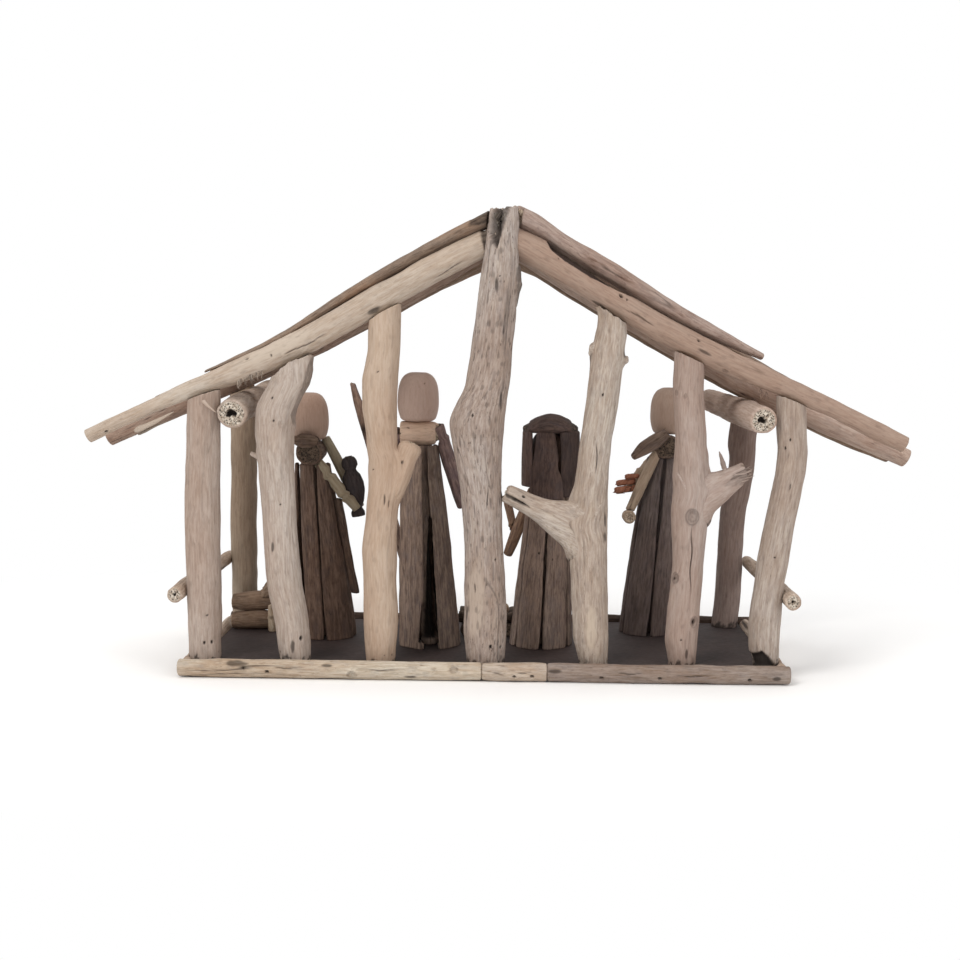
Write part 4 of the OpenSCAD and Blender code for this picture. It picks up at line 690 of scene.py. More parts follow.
# how a stick is wrapped, weathered and coloured unless its own entry says otherwise
plain = {
    # the wrap: its step and how it is stretched along the stick, rounds of softening, rims, rows of rays
    "upright": False, "branchy": False, "round": False, "step": 0.95, "stretch": 1.6, "soften": 2,
    "bevel": 1.3, "rows": 4.5, "skip": 99,
    # the shape: broken ends, longer or shorter ends, thickness of a slat, bow, wider section, set back ends
    "ragged": (0, 0), "extend": (0, 0), "thick": (1, 1, 1), "bow": (0, 1, 0), "wide": 1, "back": (0, 0, 30),
    "square": 2, "radii": None, "flare": (0, 1),
    # the surface
    "lump": 0.5, "lumpSize": 8, "groove": 0.16, "grooveSize": 2.4, "run": 12, "crack": 0.5, "crackSize": 6,
    "pits": 0.3, "endRough": 0.3, "foot": 0, "bump": 0.7,
    # the colour
    "fleck": 0.5, "stainAmount": 0.5, "mottleAmount": 0.5, "lineAmount": 0.35, "hairAmount": 0.3,
    "contrast": 0.85, "rough": 0.82, "poreScale": 0.9, "poreDark": 0.92, "patchy": 0.6,
    "warm": srgb(234, 222, 214), "tone": (1, 1, 1), "tints": (1, 1), "tintSpread": 0.0,
    "marks": [], "branches": [], "branchMarks": [], "strands": [], "seed": 1,
}
# colours of each wood, and the slot of a piece that names no other
woods = {
    "pale": {"light": srgb(220, 202, 180), "mid": srgb(190, 167, 142), "dark": srgb(120, 96, 76),
             "stain": srgb(186, 152, 120), "grey": srgb(182, 168, 154), "bare": srgb(226, 208, 184),
             "endLight": srgb(206, 190, 168), "endDark": srgb(160, 142, 120), "hollow": srgb(34, 26, 22),
             "slot": "pale_driftwood"},
    "grey": {"light": srgb(208, 194, 180), "mid": srgb(172, 154, 139), "dark": srgb(104, 88, 77),
             "stain": srgb(165, 142, 122), "grey": srgb(160, 148, 140), "bare": srgb(216, 200, 180),
             "endLight": srgb(208, 198, 184), "endDark": srgb(150, 134, 118), "hollow": srgb(30, 24, 22),
             "slot": "grey_driftwood"},
    "pink": {"light": srgb(212, 193, 176), "mid": srgb(184, 160, 143), "dark": srgb(120, 92, 76),
             "stain": srgb(178, 146, 124), "grey": srgb(176, 158, 146), "bare": srgb(214, 194, 172),
             "endLight": srgb(204, 186, 164), "endDark": srgb(150, 130, 112), "hollow": srgb(40, 28, 24),
             "slot": "pink_driftwood"},
    "brown": {"light": srgb(150, 130, 112), "mid": srgb(122, 102, 86), "dark": srgb(66, 54, 46),
             "stain": srgb(110, 88, 72), "grey": srgb(112, 100, 90), "bare": srgb(160, 140, 120),
             "endLight": srgb(150, 132, 112), "endDark": srgb(104, 88, 74), "hollow": srgb(26, 20, 18),
             "slot": "brown_driftwood"},
    "robe": {"light": srgb(138, 120, 106), "mid": srgb(96, 82, 73), "dark": srgb(44, 37, 34),
             "stain": srgb(86, 70, 58), "grey": srgb(92, 85, 85), "bare": srgb(156, 138, 120),
             "endLight": srgb(110, 94, 80), "endDark": srgb(70, 58, 50), "hollow": srgb(18, 15, 14),
             "slot": "dark_robe"},
    "veil": {"light": srgb(92, 80, 76), "mid": srgb(70, 60, 58), "dark": srgb(36, 30, 30),
             "stain": srgb(78, 64, 56), "grey": srgb(72, 68, 70), "bare": srgb(108, 92, 82),
             "endLight": srgb(90, 78, 70), "endDark": srgb(60, 50, 46), "hollow": srgb(16, 13, 13),
             "slot": "dark_robe"},
    "head": {"light": srgb(206, 180, 162), "mid": srgb(194, 166, 148), "dark": srgb(150, 120, 102),
             "stain": srgb(184, 152, 134), "grey": srgb(186, 164, 150), "bare": srgb(214, 192, 172),
             "endLight": srgb(196, 172, 152), "endDark": srgb(176, 150, 130), "hollow": srgb(70, 50, 42),
             "slot": "egg_head"},
}


def makeSticks(label, group):
    points = 0
    for name, piece in group.items():
        look = {**plain, **woods[piece["wood"]], **piece}
        for key in ("light", "mid", "dark", "stain", "grey", "bare"):
            look[key] = tuple(c * t ** 2.2 for c, t in zip(look[key], look["tone"])) + (1.0,)
        for key in ("fleck", "stainAmount", "mottleAmount", "lineAmount", "hairAmount"):
            look[key] = look[key] * look["contrast"]
        for key in ("light", "bare", "grey"):
            look[key] = tuple(m + (c - m) * look["contrast"] for c, m in zip(look[key], look["mid"]))
        skins = []
        solids = solidsOf(name)
        middles = [solid[0][:, 0].mean() for solid in solids]
        tintRng = np.random.default_rng(look["seed"])
        for k, (solidPoints, faces) in enumerate(solids):
            own = {**look, "seed": look["seed"] * 10 + k}
            wrap = wrapEgg if look["round"] and name.endswith("head") else wrapSolid
            skins.append(weather(wrap(solidPoints, faces, own), own, look["marks"]))
            # slats of one piece go from one tint to the other, from left to right
            share = (middles[k] - min(middles)) / max(max(middles) - min(middles), 1)
            skins[-1]["tint"] = look["tints"][0] + (look["tints"][1] - look["tints"][0]) * share \
                + look["tintSpread"] * tintRng.uniform(-1, 1)
            for limb in look["branches"]:
                branch = {**own, "seed": own["seed"] + 5, **limb}
                skins.append(weather(wrapSolid(solidPoints, faces, branch), branch, look["branchMarks"]))
                skins[-1]["tint"] = 1.0
        for k, (path, width, thickness, darkness, paleness) in enumerate(look["strands"]):
            skins.append(strand(path, width, thickness, (darkness, paleness), k + 1))
        made = addPiece(name + "_piece", skins, woodMaterial(name + "_wood", look), name)
        points += len(made.data.vertices)
    print(label, "made:", len(group), "pieces,", points, "points")


# each piece: its wood, changes to plain, and marks on its near side
edgingStrips = {
    "trim_near_left": {
        "wood": "pale", "seed": 3, "step": 0.62, "stretch": 1.4, "lump": 0.3, "bevel": 1.8, "crack": 0.7,
        "tone": (0.94, 0.98, 1.02),
        "marks": [("knot", -93, 4.5, 2.6, 0.95), ("knot", -20, 9, 2.2, 0.9), ("hole", -154, 5.5, 1.2),
                  ("stain", -176, 11.5, 2.4, 9), ("hole", -171, 8, 0.9), ("hole", -130, 3, 0.6),
                  ("stain", -51, 3, 1, 5), ("stain", -111, 10.5, 1.2, 4), ("slit", -70, 8.5, 0.5, 12),
                  ("slit", -140, 9, 0.5, 9)]},
    "trim_near_middle": {
        "wood": "pale", "seed": 4, "step": 0.62, "stretch": 1.4, "bevel": 1.2, "tone": (0.9, 0.92, 0.96),
        "marks": [("hole", 23, 4.5, 1.0), ("hole", 36, 4.8, 1.2), ("stain", 49, 9, 1.6, 3),
                  ("slit", 30, 8, 0.4, 6)]},
    "trim_near_right": {
        "wood": "pale", "seed": 5, "step": 0.62, "stretch": 1.4, "bevel": 1.8, "tone": (0.72, 0.73, 0.78),
        "marks": [("hole", 85, 4.5, 1.2), ("hole", 126, 4.2, 1.1), ("hole", 190, 3.8, 1.3),
                  ("stain", 52, 8.5, 1.6, 5), ("slit", 105, 8, 0.45, 10), ("slit", 150, 7, 0.45, 12),
                  ("stain", 209, 6, 1.6, 3)]},
    "trim_left": {
        "wood": "grey", "seed": 6},
    "trim_right": {
        "wood": "grey", "seed": 7},
    "trim_far": {
        "wood": "robe", "slot": "pale_driftwood", "seed": 8, "tone": (0.75, 0.72, 0.72)},
}
makeSticks("edging strips", edgingStrips)

# posts stand upright and are seen from near by, with painted contact shade at their feet; their row runs
# along this line
near = {"upright": True, "branchy": True, "step": 0.62, "stretch": 1.3, "soften": 1, "bevel": 0.5,
        "foot": 3.0, "crack": 0.12}
rowY = -74
nearPosts = {
    "post_1": {
        **near, "wood": "grey", "contrast": 0.45, "seed": 11, "tone": (0.94, 0.94, 0.96),
        "marks": [("hole", -201, 24, 1.0), ("hole", -196, 24, 1.0), ("hole", -199, 44, 0.7)],
        "strands": [([(-200, -87.5, 199), (-196, -88, 195), (-190, -87, 190)], 3.0, 1.4, 0.0, 0.9)]},
    "post_2": {
        **near, "wood": "grey", "contrast": 0.5, "ragged": (0, 1.5), "seed": 12, "lump": 0.5,
        "lumpSize": 7, "tone": (0.97, 0.99, 1.02),
        "marks": [("patch", [(-122, 234), (-113, 227), (-117, 214), (-127, 195), (-136, 180),
                             (-138, 189), (-130, 208)], 1.8, 0.38, 0),
                  ("hole", -150, 201, 0.8), ("knot", -144.3, 182.5, 2.0, 0.35),
                  ("bulge", -146, 160, 7, 8, 1.0), ("hole", -145, 124.5, 0.7), ("hole", -131, 27, 1.5),
                  ("hole", -126, 29, 1.2), ("stain", -137, 22, 1.6, 5), ("hole", -149, 185, 0.7),
                  ("stain", -151, 94, 1.2, 4), ("hole", -132, 62, 0.6)],
        "branches": [{"root": (-149.9, rowY, 153.3), "tip": (-169.4, rowY, 160.8), "radii": (4.1, 1.7),
                      "bevel": 1.0}]},
    "post_3": {
        **near, "wood": "pale", "contrast": 0.35, "seed": 13, "fleck": 0.2, "stainAmount": 0.35,
        "tone": (0.92, 0.92, 0.95),
        "marks": [("hole", -58, 155.4, 1.1), ("slit", -70.9, 128.8, 0.7, 4.5),
                  ("slit", -67, 126, 0.45, 3), ("hole", -75, 219.8, 0.6), ("knot", -61.5, 39, 1.6, 0.9),
                  ("hole", -79, 150, 0.6)],
        "branches": [{"root": (-73.2, rowY, 121.4), "tip": (-55.6, -75.2, 160.6), "radii": (10.4, 8.2),
                      "bevel": 5.5}],
        "branchMarks": [("hole", -58, 155.4, 1.1)]},
    "king_post": {
        **near, "wood": "grey", "contrast": 0.85, "seed": 14, "fleck": 0.85, "bevel": 1.4,
        "ragged": (0, 2.2), "crack": 0.3, "groove": 0.28, "pits": 0.8, "tone": (0.88, 0.89, 0.92),
        "marks": [("patch", [(6, 338), (20, 338), (14.6, 325), (10.5, 312.5), (8.5, 306.5),
                             (4.2, 310), (1.4, 318), (2, 326)], 6.5, 0.74, 0),
                  ("patch", [(10, 337), (17.5, 337), (16, 330), (12, 324), (9, 327)], 3, 1.0, 0),
                  ("patch", [(22.5, 297), (27, 293), (25.5, 285), (29, 281), (27, 271), (26, 260),
                             (22, 267), (21.4, 281), (21, 292)], -1.6, 0.62, 0),
                  ("stain", 8.5, 282, 1.6, 5.5), ("hole", 10.5, 287.5, 0.6), ("slit", -5.5, 66.5, 0.6, 4),
                  ("bare", -5, 55, 9, 32), ("hole", 6, 24, 1.2), ("hole", 13, 23, 1.0),
                  ("hole", 9, 87, 0.8), ("slit", 3, 130, 0.45, 9), ("stain", 12, 200, 1.4, 8),
                  ("hole", -8, 190, 0.9)],
        "branches": [{"root": (9.4, rowY, 278), "tip": (25, -77, 282.5), "radii": (8.2, 3.8), "bevel": 1.5}]},
    "post_5": {
        **near, "wood": "grey", "contrast": 0.75, "ragged": (0, 1.5), "seed": 15, "fleck": 0.5,
        "tone": (0.95, 0.97, 0.99),
        "marks": [("patch", [(70, 240), (76, 241), (77, 233), (75, 226), (70, 225)], -0.8, 0.5, 0),
                  ("hole", 74, 232, 1.8), ("stain", 100, 234, 4, 4), ("stain", 73, 238, 4, 5),
                  ("stain", 87, 115, 1.6, 6), ("stain", 87, 103, 1.6, 4), ("slit", 92, 190, 0.45, 14),
                  ("slit", 80, 160, 0.45, 12), ("hole", 84, 205, 0.8), ("slit", 86.8, 116, 0.8, 7),
                  ("slit", 85.5, 102, 0.5, 4), ("bare", 77.7, 36, 4.5, 20), ("bulge", 79, 88, 8, 14, 0.6)],
        "branches": [{"root": (74.9, rowY, 107.8), "tip": (14.5, -77.1, 134.3), "radii": (10.9, 6.6),
                      "bevel": 2.2, "flare": (10, 27), "ragged": (0, 2.5)},
                     {"root": (87, rowY, 230.7), "tip": (102.6, rowY, 229.1), "radii": (4.7, 2.8),
                      "bevel": 2},
                     {"root": (87.5, rowY, 236), "tip": (73.5, -76.6, 236.5), "radii": (5.2, 2.6),
                      "bevel": 2, "flare": (4, 16)}],
        "branchMarks": [("patch", [(15, 135), (21, 132.5), (33, 125), (34, 123.2), (24, 127),
                                   (15.5, 131)], 2.4, 0.9, 0),
                        ("patch", [(22, 130.5), (28, 128.5), (31, 126), (26, 127.5)], 1.6, 0.85, 0),
                        ("hole", 28.5, 132, 1.0)]},
    "post_6": {
        **near, "wood": "pink", "contrast": 0.5, "seed": 16, "fleck": 0.25, "tone": (0.86, 0.88, 0.92),
        "marks": [("knot", 148, 119, 4.4, 1.1), ("knot", 138, 74, 3.0, 1.1), ("hole", 137, 74, 0.9),
                  ("knot", 151, 43, 3, 0.9), ("hole", 151, 43, 1.6), ("knot", 136.4, 206.5, 1.6, 0.8),
                  ("knot", 142, 204.5, 1.2, 0.6), ("slit", 148, 88, 0.5, 27), ("hole", 142, 30, 0.7),
                  ("stain", 146, 20, 1.2, 5)],
        "branches": [{"root": (147.8, rowY, 130.1), "tip": (188.2, -75.2, 151.8), "radii": (8.9, 6.4),
                      "bevel": 1.2, "flare": (10, 27), "ragged": (0, 4)}],
        "branchMarks": [("patch", [(170, 140), (177, 149), (190, 157), (196, 150), (188, 142),
                                   (180, 139.5)], 1.0, 0.3, 0)],
        "strands": [([(173.5, -76, 145), (171.5, -77, 153), (169.2, -76.5, 160)], 4.6, 4.2, 0.2, 0.2),
                    ([(171.5, -77, 152), (169.2, -76.5, 160), (167.4, -76, 165)], 4.2, 3.6, 0.35, 0.1)]},
    "post_7": {
        **near, "wood": "grey", "contrast": 0.7, "seed": 17, "tone": (0.91, 0.92, 0.94),
        "marks": [("patch", [(191, 9), (192, 20), (200, 23), (206, 18), (211, 11),
                             (211, 8.9)], 2.6, 1.1, 0),
                  ("hole", 216, 174, 0.8), ("hole", 207, 90, 0.7), ("hole", 212.5, 167.7, 0.9),
                  ("slit", 216.8, 141, 0.5, 2.5), ("bulge", 212, 150, 8, 12, 0.7)]},
}
# frayed fibres at the end of the sixth post's branch
fray = {"count": 46, "at": (172, -77, 145.5), "spread": (6, 4.6, 5.5), "width": (0.9, 2.0),
        "thickness": (0.6, 1.1)}
rng = np.random.default_rng(7)
for k in range(fray["count"]):
    turn = rng.uniform(0, 2 * math.pi)
    reach = rng.uniform(0.2, 1)
    aside = np.array((rng.random(), math.sin(turn) * reach, math.cos(turn) * reach))
    root = np.array(fray["at"]) + np.array(fray["spread"]) * aside
    end = root + np.array((rng.uniform(9, 16), rng.uniform(-1.5, 1.0), rng.uniform(2.0, 9.0)))
    bend = (root + end) / 2 + rng.uniform(-0.9, 0.9, 3)
    width = rng.uniform(*fray["width"])
    thickness = rng.uniform(*fray["thickness"])
    darkness = rng.choice([0.0, 0.15, 0.6])
    paleness = rng.uniform(0, 0.6)
    nearPosts["post_6"]["strands"].append(([root, bend, end], width, thickness, darkness, paleness))
makeSticks("near posts", nearPosts)

# corner posts of the open side, and what carries the roof
beamsAndRails = {
    "far_post_left": {
        **near, "wood": "grey", "slot": "brown_driftwood", "step": 1.1, "contrast": 0.4, "seed": 18,
        "tone": (0.84, 0.83, 0.8)},
    "far_post_right": {
        **near, "wood": "brown", "step": 1.1, "contrast": 0.5, "seed": 19, "tone": (1.0, 1.03, 1.13)},
    "eave_beam_left": {
        "wood": "grey", "slot": "brown_driftwood", "contrast": 0.5, "seed": 20, "bevel": 1.5, "pits": 0.2,
        "crack": 0.15, "fleck": 0.2, "tone": (0.95, 0.95, 0.96),
        "marks": [("pith", 0.6, 1.1, 3.4, (0, -1, 0))]},
    "eave_beam_right": {
        "wood": "grey", "slot": "brown_driftwood", "contrast": 0.5, "seed": 21, "bevel": 1.5, "pits": 0.2,
        "crack": 0.15, "fleck": 0.2, "tone": (0.97, 0.95, 0.96),
        "marks": [("pith", 1.9, 0.4, 2.8, (0, -1, 0))]},
    "side_rail_left": {
        "wood": "grey", "seed": 22,
        "marks": [("pith", 0.3, 0.8, 1.2)]},
    "side_rail_right": {
        "wood": "grey", "seed": 23,
        "marks": [("pith", 1.3, 0.8, 1.1)]},
    "ridge_pole": {
        "wood": "brown", "seed": 24, "step": 1.3,
        "marks": [("pith", 1.3, 0.2, 1.4)]},
}
makeSticks("far posts, beams and rails", beamsAndRails)

# thick is given at the left end, the middle and the right end of a slat
roofSticks = {
    "near_rafter_left": {
        "wood": "pale", "crack": 0.15, "contrast": 0.5, "seed": 25, "step": 0.7, "stretch": 1.4,
        "bevel": 0.4, "extend": (0, 3), "back": (0, 6, 26), "tone": (0.93, 0.98, 1.05),
        "marks": [("hole", -272, 175.7, 1.0), ("hole", -169, 228.4, 1.0), ("hole", -109, 270, 0.8),
                  ("stain", -79, 263, 2.4, 6), ("slit", -79, 263, 0.9, 4), ("slit", -45, 278, 0.6, 20),
                  ("slit", -128, 238, 0.5, 20), ("slit", -25, 292, 0.6, 14), ("hole", -151, 231, 0.8),
                  ("bare", -150, 236, 8, 40),
                  ("patch", [(-245, 179), (-224, 190), (-222, 194), (-238, 188), (-247, 184)], 1.8, 0.3, 0),
                  ("patch", [(-5, 324), (3, 326), (5, 304), (-1, 306), (-3, 313)], 1.5, 0.8, 0)],
        "strands": [([(-252, -77, 176), (-236, -80, 183), (-222, -82, 190.5)], 4.5, 2.2, 0.1, 0.6),
                    ([(-250, -75, 173.5), (-240, -77, 178), (-228, -79, 184)], 2.4, 2.0, 0.5, 0.0)]},
    "near_rafter_right": {
        "wood": "pink", "slot": "pale_driftwood", "crack": 0.15, "contrast": 0.45, "seed": 26,
        "step": 0.7, "stretch": 1.4, "bevel": 0.4, "extend": (3, -3.5), "back": (6, 0, 26),
        "tone": (0.85, 0.85, 0.86),
        "marks": [("hole", 96, 274, 1.3), ("hole", 100, 271.5, 0.8), ("hole", 151, 243, 1.0),
                  ("stain", 81, 268, 1.6, 8), ("slit", 109, 259, 0.5, 12), ("stain", 222, 199, 1.2, 10),
                  ("slit", 262, 172, 0.7, 24), ("hole", 52, 300, 0.7), ("stain", 155, 235, 1.2, 6),
                  ("knot", 170.4, 222.2, 1.6, 0.9),
                  # the long dark groove along the top, under the bowed first right slat, is painted shade of
                  # the gap between them
                  ("patch", [(42, 315), (55, 311), (74, 299), (95, 287), (109, 277), (109, 272),
                             (95, 277), (74, 287), (56, 298), (46, 307)], 2.5, 1.1, 0)]},
    "far_rafter_left": {
        "wood": "brown", "seed": 27, "step": 1.2, "tone": (1.1, 1.1, 1.1)},
    "far_rafter_right": {
        "wood": "brown", "seed": 28, "step": 1.2, "tone": (1.1, 1.08, 1.06)},
    "roof_pole_left_1": {
        "wood": "pink", "slot": "brown_driftwood", "seed": 29, "tone": (0.78, 0.76, 0.76)},
    "roof_pole_left_2": {
        "wood": "brown", "seed": 30, "step": 1.2},
    "roof_pole_right_1": {
        "wood": "pink", "slot": "brown_driftwood", "seed": 31, "tone": (0.88, 0.88, 0.9)},
    "roof_pole_right_2": {
        "wood": "brown", "seed": 32, "step": 1.2},
    "roof_slat_left_1": {
        "wood": "brown", "seed": 33, "thick": (0.4, 1.1, 1.3), "extend": (-10, 0), "groove": 0.35,
        "lineAmount": 0.9, "stain": srgb(160, 118, 84), "tone": (0.95, 0.97, 1.0),
        "marks": [("patch", [(-12, 322), (-12, 333), (6, 340), (6, 326)], 0.3, 0.7, 0)]},
    "roof_slat_left_2": {
        "wood": "brown", "seed": 34, "groove": 0.3, "step": 1.2},
    "roof_slat_left_3": {
        "wood": "brown", "seed": 35, "extend": (-22, 0), "thick": (0.5, 1, 1), "groove": 0.3, "step": 1.2,
        "tone": (1.1, 1.1, 1.1)},
    "roof_slat_right_1": {
        "wood": "pink", "slot": "brown_driftwood", "seed": 36, "thick": (1.8, 1.62, 1.15),
        "bow": (0.0, 0.42, -2.4), "groove": 0.35, "lineAmount": 0.8, "crack": 0.6,
        "tone": (0.78, 0.77, 0.79)},
    "roof_slat_right_2": {
        "wood": "brown", "seed": 37, "thick": (1, 1, 0.8), "groove": 0.3, "step": 1.2},
    "roof_slat_right_3": {
        "wood": "brown", "seed": 38, "extend": (0, -16), "thick": (1, 1, 0.6), "bow": (0.3, 1.7, -5),
        "groove": 0.3, "step": 1.2, "tone": (0.95, 0.95, 0.97)},
}
# hairs of bark hanging under the rafters: from and to in x, how many, a place of the underside, its slope
barkHairs = {
    "near_rafter_left": {"across": (-176, -158), "count": 26, "under": (-177, 213.5), "slope": 0.47},
    "near_rafter_right": {"across": (191, 203), "count": 8, "under": (190, 212), "slope": -0.46},
}
hairY, hairWidth, hairThickness = -81, 0.55, 0.4
for name, hairs in barkHairs.items():
    strands = roofSticks[name].setdefault("strands", [])
    for k in range(hairs["count"]):
        x = rng.uniform(*hairs["across"])
        z = hairs["under"][1] + (x - hairs["under"][0]) * hairs["slope"]
        drop = rng.uniform(3, 9)
        path = [(x, hairY + 1 + rng.uniform(-1, 3), z), (x + rng.uniform(-1, 1.5), hairY, z - drop * 0.6),
                (x + rng.uniform(-2.5, 2.5), hairY, z - drop)]
        strands.append((path, hairWidth, hairThickness, rng.choice([0.2, 0.7]), 0.2))
makeSticks("rafters, poles and slats", roofSticks)

# heads: smooth eggs with a slightly flat dome
egg = {"upright": True, "round": True, "square": 2.45, "lump": 0.2, "groove": 0.03, "crack": 0, "pits": 0,
       "fleck": 0.1, "bump": 0.2, "rough": 0.6}
# the figures and the low pieces between them are seen from behind, through the posts
leftBearer = {
    "left_bearer_robe": {
        "wood": "robe", "contrast": 0.8, "crack": 0.2, "seed": 40, "tints": (1.15, 0.9),
        "tintSpread": 0.2, "groove": 0.35, "tone": (0.94, 0.9, 0.89)},
    "left_bearer_shoulders": {
        "wood": "robe", "seed": 41, "tone": (0.95, 0.92, 0.9)},
    "left_bearer_head": {
        **egg, "wood": "head", "contrast": 0.6, "seed": 42, "tone": (0.9, 0.89, 0.89)},
    "left_bearer_arms": {
        "wood": "pink", "slot": "brown_driftwood", "contrast": 0.6, "seed": 43, "tone": (0.82, 0.86, 0.82)},
    "left_bearer_jar": {
        "wood": "veil", "seed": 44, "round": True, "rows": 0.9, "skip": 1.4, "bevel": 0.6, "lump": 0.12,
        "groove": 0.05, "tone": (0.85, 0.87, 0.9)},
}
shepherd = {
    "shepherd_robe": {
        "wood": "robe", "contrast": 0.75, "crack": 0.2, "seed": 45, "tints": (1.3, 0.85),
        "tintSpread": 0.15, "groove": 0.35, "tone": (1.15, 1.15, 1.17),
        # the long deep dark groove where two slats part is painted shade in the gap between them
        "marks": [("patch", [(-44, 109), (-41, 109), (-38, 60), (-35, 14), (-50, 14),
                             (-46, 60)], 4.0, 1.1, 0)]},
    "shepherd_shoulders": {
        "wood": "pink", "slot": "brown_driftwood", "contrast": 0.5, "seed": 46, "tone": (1.12, 1.1, 1.08),
        "marks": [("hole", -59.7, 176.8, 0.8), ("hole", -65.7, 172.2, 0.8)]},
    "shepherd_head": {
        **egg, "wood": "head", "contrast": 0.6, "seed": 47, "tone": (1.0, 1.01, 1.04),
        "marks": [("hole", -46.5, 210.5, 0.5)]},
    "shepherd_arms": {
        "wood": "robe", "wide": 1.7, "seed": 48, "tone": (1.1, 1.06, 1.14)},
    "shepherd_staff": {
        "wood": "robe", "seed": 49, "step": 0.7, "bevel": 1.6, "wide": 1.7, "tone": (1.3, 1.28, 1.3)},
}
mother = {
    "mother_robe": {
        "wood": "robe", "contrast": 0.7, "crack": 0.2, "seed": 50, "tints": (1.3, 0.95),
        "tintSpread": 0.15, "groove": 0.35, "tone": (1.18, 1.2, 1.24),
        "marks": [("hole", 41.2, 82.2, 1.0), ("hole", 50.4, 77.8, 0.8)]},
    # the back of this head, under the dark veil, is painted dark as the veil's shade; its far side is bare
    "mother_head": {
        **egg, "wood": "head", "tone": (0.93, 0.92, 0.92), "seed": 51,
        "marks": [("patch", [(20, 120), (95, 120), (95, 235), (20, 235)], 0, 0.93, 0)]},
    "mother_veil": {
        "wood": "veil", "crack": 0.2, "seed": 52, "wide": 1.3, "tintSpread": 0.1, "groove": 0.35,
        "tints": (1.7, 0.95), "tone": (1.02, 1.0, 1.0)},
    "mother_arms": {
        "wood": "robe", "slot": "brown_driftwood", "seed": 53, "tone": (1.4, 1.35, 1.3)},
}
rightBearer = {
    "right_bearer_robe": {
        "wood": "robe", "contrast": 0.6, "crack": 0.2, "seed": 54, "tints": (1.0, 1.1), "tintSpread": 0.2,
        "groove": 0.35, "tone": (0.97, 1.0, 1.08)},
    "right_bearer_shoulders": {
        "wood": "robe", "seed": 55, "tone": (1.0, 0.98, 0.98)},
    "right_bearer_head": {
        **egg, "wood": "head", "contrast": 0.6, "seed": 56, "tone": (0.86, 0.86, 0.86)},
    "right_bearer_arms": {
        "wood": "pink", "slot": "brown_driftwood", "contrast": 0.6, "seed": 57, "tone": (0.86, 0.86, 0.83)},
    "right_bearer_gift": {
        "wood": "brown", "seed": 58, "upright": True, "tone": (1.2, 0.95, 0.88)},
}
mangerAndSheep = {
    "manger": {
        "wood": "robe", "seed": 59, "tone": (0.8, 0.8, 0.8)},
    "infant": {
        "wood": "pale", "seed": 60},
    "sheep_body": {
        "wood": "brown", "seed": 61},
    "sheep_head": {
        "wood": "brown", "seed": 62},
    "sheep_leg": {
        "wood": "pale", "seed": 63, "upright": True, "tone": (0.85, 0.85, 0.85)},
}
for label, figure in (("left bearer", leftBearer), ("shepherd", shepherd), ("mother", mother),
                      ("right bearer", rightBearer), ("manger and sheep", mangerAndSheep)):
    makeSticks(label, figure)


# board and nails keep their CAD shape
def plainMaterial(name, colour, rough, metal=0.0):
    mat = bpy.data.materials.new(name)
    mat.use_nodes = True
    shader = mat.node_tree.nodes["Principled BSDF"]
    shader.inputs["Base Color"].default_value = colour
    shader.inputs["Roughness"].default_value = rough
    shader.inputs["Metallic"].default_value = metal
    return mat


def speckled(mat, first, second, scale, bump):
    # uneven colour, wear and a fine bump on a CAD face
    nodes, links = mat.node_tree.nodes, mat.node_tree.links
    shader = nodes["Principled BSDF"]
    rough = shader.inputs["Roughness"].default_value
    where = nodes.new("ShaderNodeTexCoord")
    cloudy = nodes.new("ShaderNodeTexNoise")
    cloudy.inputs["Scale"].default_value = scale
    cloudy.inputs["Detail"].default_value = 7
    cloudy.inputs["Roughness"].default_value = 0.65
    links.new(where.outputs["Object"], cloudy.inputs["Vector"])
    ramp = nodes.new("ShaderNodeValToRGB")
    for stop, place, colour in zip(ramp.color_ramp.elements, (0.35, 0.7), (first, second)):
        stop.position = place
        stop.color = colour
    links.new(cloudy.outputs["Fac"], ramp.inputs[0])
    links.new(ramp.outputs[0], shader.inputs["Base Color"])
    fine = nodes.new("ShaderNodeTexNoise")
    fine.inputs["Scale"].default_value = scale * 12
    fine.inputs["Detail"].default_value = 4
    links.new(where.outputs["Object"], fine.inputs["Vector"])
    rise = nodes.new("ShaderNodeBump")
    rise.inputs["Strength"].default_value = bump
    rise.inputs["Distance"].default_value = 0.0004
    links.new(fine.outputs["Fac"], rise.inputs["Height"])
    links.new(rise.outputs[0], shader.inputs["Normal"])
    wear = nodes.new("ShaderNodeMapRange")
    wear.inputs["To Min"].default_value = rough - 0.15
    wear.inputs["To Max"].default_value = rough + 0.12
    links.new(fine.outputs["Fac"], wear.inputs[0])
    links.new(wear.outputs[0], shader.inputs["Roughness"])


board = {"colour": srgb(42, 31, 30), "worn": srgb(62, 48, 45), "rough": 0.75, "metal": 0.0, "speckle": 22}
nail = {"colour": srgb(110, 106, 102), "worn": srgb(96, 66, 48), "rough": 0.5, "metal": 0.8, "speckle": 300}
for name, look in (("base_board", board), ("nails", nail)):
    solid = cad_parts[name]
    finish = plainMaterial(name + "_finish", look["colour"], look["rough"], look["metal"])
    speckled(finish, look["colour"], look["worn"], look["speckle"], 0.5)
    solid.data.materials.clear()
    solid.data.materials.append(finish)
print("board and nails finished")

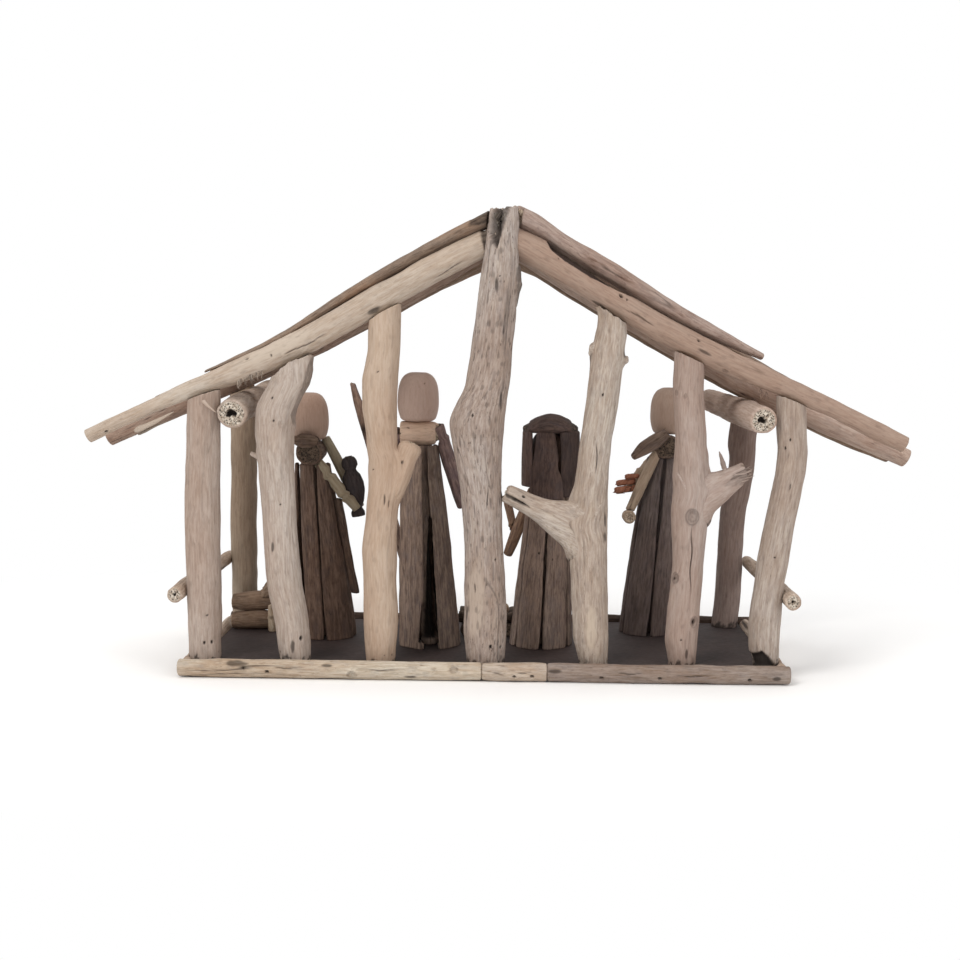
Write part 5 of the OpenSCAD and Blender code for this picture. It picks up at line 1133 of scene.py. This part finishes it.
# floor of white paper; it fades to pure white away from the stable, so no horizon shows
paper = {"colour": (0.96, 0.96, 0.96, 1), "rough": 0.9, "half": 6, "fadeAcross": 0.75, "fadeDeep": 0.42,
         "fade": (0.45, 1.0)}
half = paper["half"]
floorMesh = bpy.data.meshes.new("floor")
corners = [(-half, -half, 0), (half, -half, 0), (half, half, 0), (-half, half, 0)]
floorMesh.from_pydata(corners, [], [(0, 1, 2, 3)])
floor = bpy.data.objects.new("floor", floorMesh)
bpy.context.scene.collection.objects.link(floor)
paperMaterial = plainMaterial("floorPaper", paper["colour"], paper["rough"])
floorMesh.materials.append(paperMaterial)
nodes, links = paperMaterial.node_tree.nodes, paperMaterial.node_tree.links
place = nodes.new("ShaderNodeTexCoord")
flatten = nodes.new("ShaderNodeMapping")
flatten.inputs["Scale"].default_value = (1 / paper["fadeAcross"], 1 / paper["fadeDeep"], 0)
away = nodes.new("ShaderNodeVectorMath")
away.operation = "LENGTH"
fade = nodes.new("ShaderNodeMapRange")
fade.interpolation_type = "SMOOTHSTEP"
fade.inputs["From Min"].default_value, fade.inputs["From Max"].default_value = paper["fade"]
glow = nodes.new("ShaderNodeEmission")
glow.inputs["Strength"].default_value = 1.0
seen = nodes.new("ShaderNodeLightPath")
both = nodes.new("ShaderNodeMath")
both.operation = "MULTIPLY"
blend = nodes.new("ShaderNodeMixShader")
links.new(place.outputs["Object"], flatten.inputs["Vector"])
links.new(flatten.outputs[0], away.inputs[0])
links.new(away.outputs["Value"], fade.inputs[0])
links.new(fade.outputs[0], both.inputs[0])
links.new(seen.outputs["Is Camera Ray"], both.inputs[1])
links.new(both.outputs[0], blend.inputs[0])
links.new(nodes["Principled BSDF"].outputs[0], blend.inputs[1])
links.new(glow.outputs[0], blend.inputs[2])
links.new(blend.outputs[0], nodes["Material Output"].inputs[0])

scene = bpy.context.scene
scene.view_settings.view_transform = "Standard"
# even light all round, and white behind the stable for the camera alone
around = {"colour": (1, 0.985, 0.97, 1), "strength": 0.62}
world = bpy.data.worlds.new("studio")
scene.world = world
world.use_nodes = True
nodes, links = world.node_tree.nodes, world.node_tree.links
nodes.clear()
path = nodes.new("ShaderNodeLightPath")
fill = nodes.new("ShaderNodeBackground")
fill.inputs["Color"].default_value = around["colour"]
fill.inputs["Strength"].default_value = around["strength"]
white = nodes.new("ShaderNodeBackground")
white.inputs["Color"].default_value = (1, 1, 1, 1)
white.inputs["Strength"].default_value = 1.0
pick = nodes.new("ShaderNodeMixShader")
out = nodes.new("ShaderNodeOutputWorld")
links.new(path.outputs["Is Camera Ray"], pick.inputs[0])
links.new(fill.outputs[0], pick.inputs[1])
links.new(white.outputs[0], pick.inputs[2])
links.new(pick.outputs[0], out.inputs[0])

# soft boxes, in metres and watts
softBoxes = {
    "keyBox": {"at": (-1.2, -1.6, 1.9), "aim": (0, 0, 0.15), "size": 1.2, "power": 32,
               "colour": (1, 0.98, 0.95)},
    "fillBox": {"at": (1.6, -1.4, 1.0), "aim": (0, 0, 0.15), "size": 1.4, "power": 12, "colour": (1, 1, 1)},
    "topBox": {"at": (0.1, 0.3, 2.2), "aim": (0, 0, 0.1), "size": 1.6, "power": 16, "colour": (1, 1, 1)},
}
for name, box in softBoxes.items():
    light = bpy.data.lights.new(name, "AREA")
    light.shape = "DISK"
    light.size = box["size"]
    light.energy = box["power"]
    light.color = box["colour"]
    lamp = bpy.data.objects.new(name, light)
    scene.collection.objects.link(lamp)
    lamp.location = box["at"]
    lamp.rotation_euler = (Vector(box["aim"]) - Vector(box["at"])).to_track_quat("-Z", "Y").to_euler()
print("floor and light set")

# the camera stands where the photo was taken from: metres and degrees
photoCamera = {"at": (0.03097, -1.09451, 0.23952), "yaw": 1.899, "pitch": 5.419, "roll": 0.353,
               "lens": 53.5, "sensor": 36}
yaw, pitch, roll = (math.radians(photoCamera[key]) for key in ("yaw", "pitch", "roll"))
ahead = Vector((-math.sin(yaw) * math.cos(pitch), math.cos(yaw) * math.cos(pitch), -math.sin(pitch)))
level = Vector((math.cos(yaw), math.sin(yaw), 0))
upright = level.cross(ahead)
right = level * math.cos(roll) + upright * math.sin(roll)
up = upright * math.cos(roll) - level * math.sin(roll)
camData = bpy.data.cameras.new("photoCamera")
camData.lens = photoCamera["lens"]
camData.sensor_width = photoCamera["sensor"]
camData.clip_start = 0.05
camData.clip_end = 30
cam = bpy.data.objects.new("photoCamera", camData)
scene.collection.objects.link(cam)
cam.matrix_world = Matrix.Translation(photoCamera["at"]) @ Matrix((right, up, -ahead)).transposed().to_4x4()
scene.camera = cam

print("ready to render")
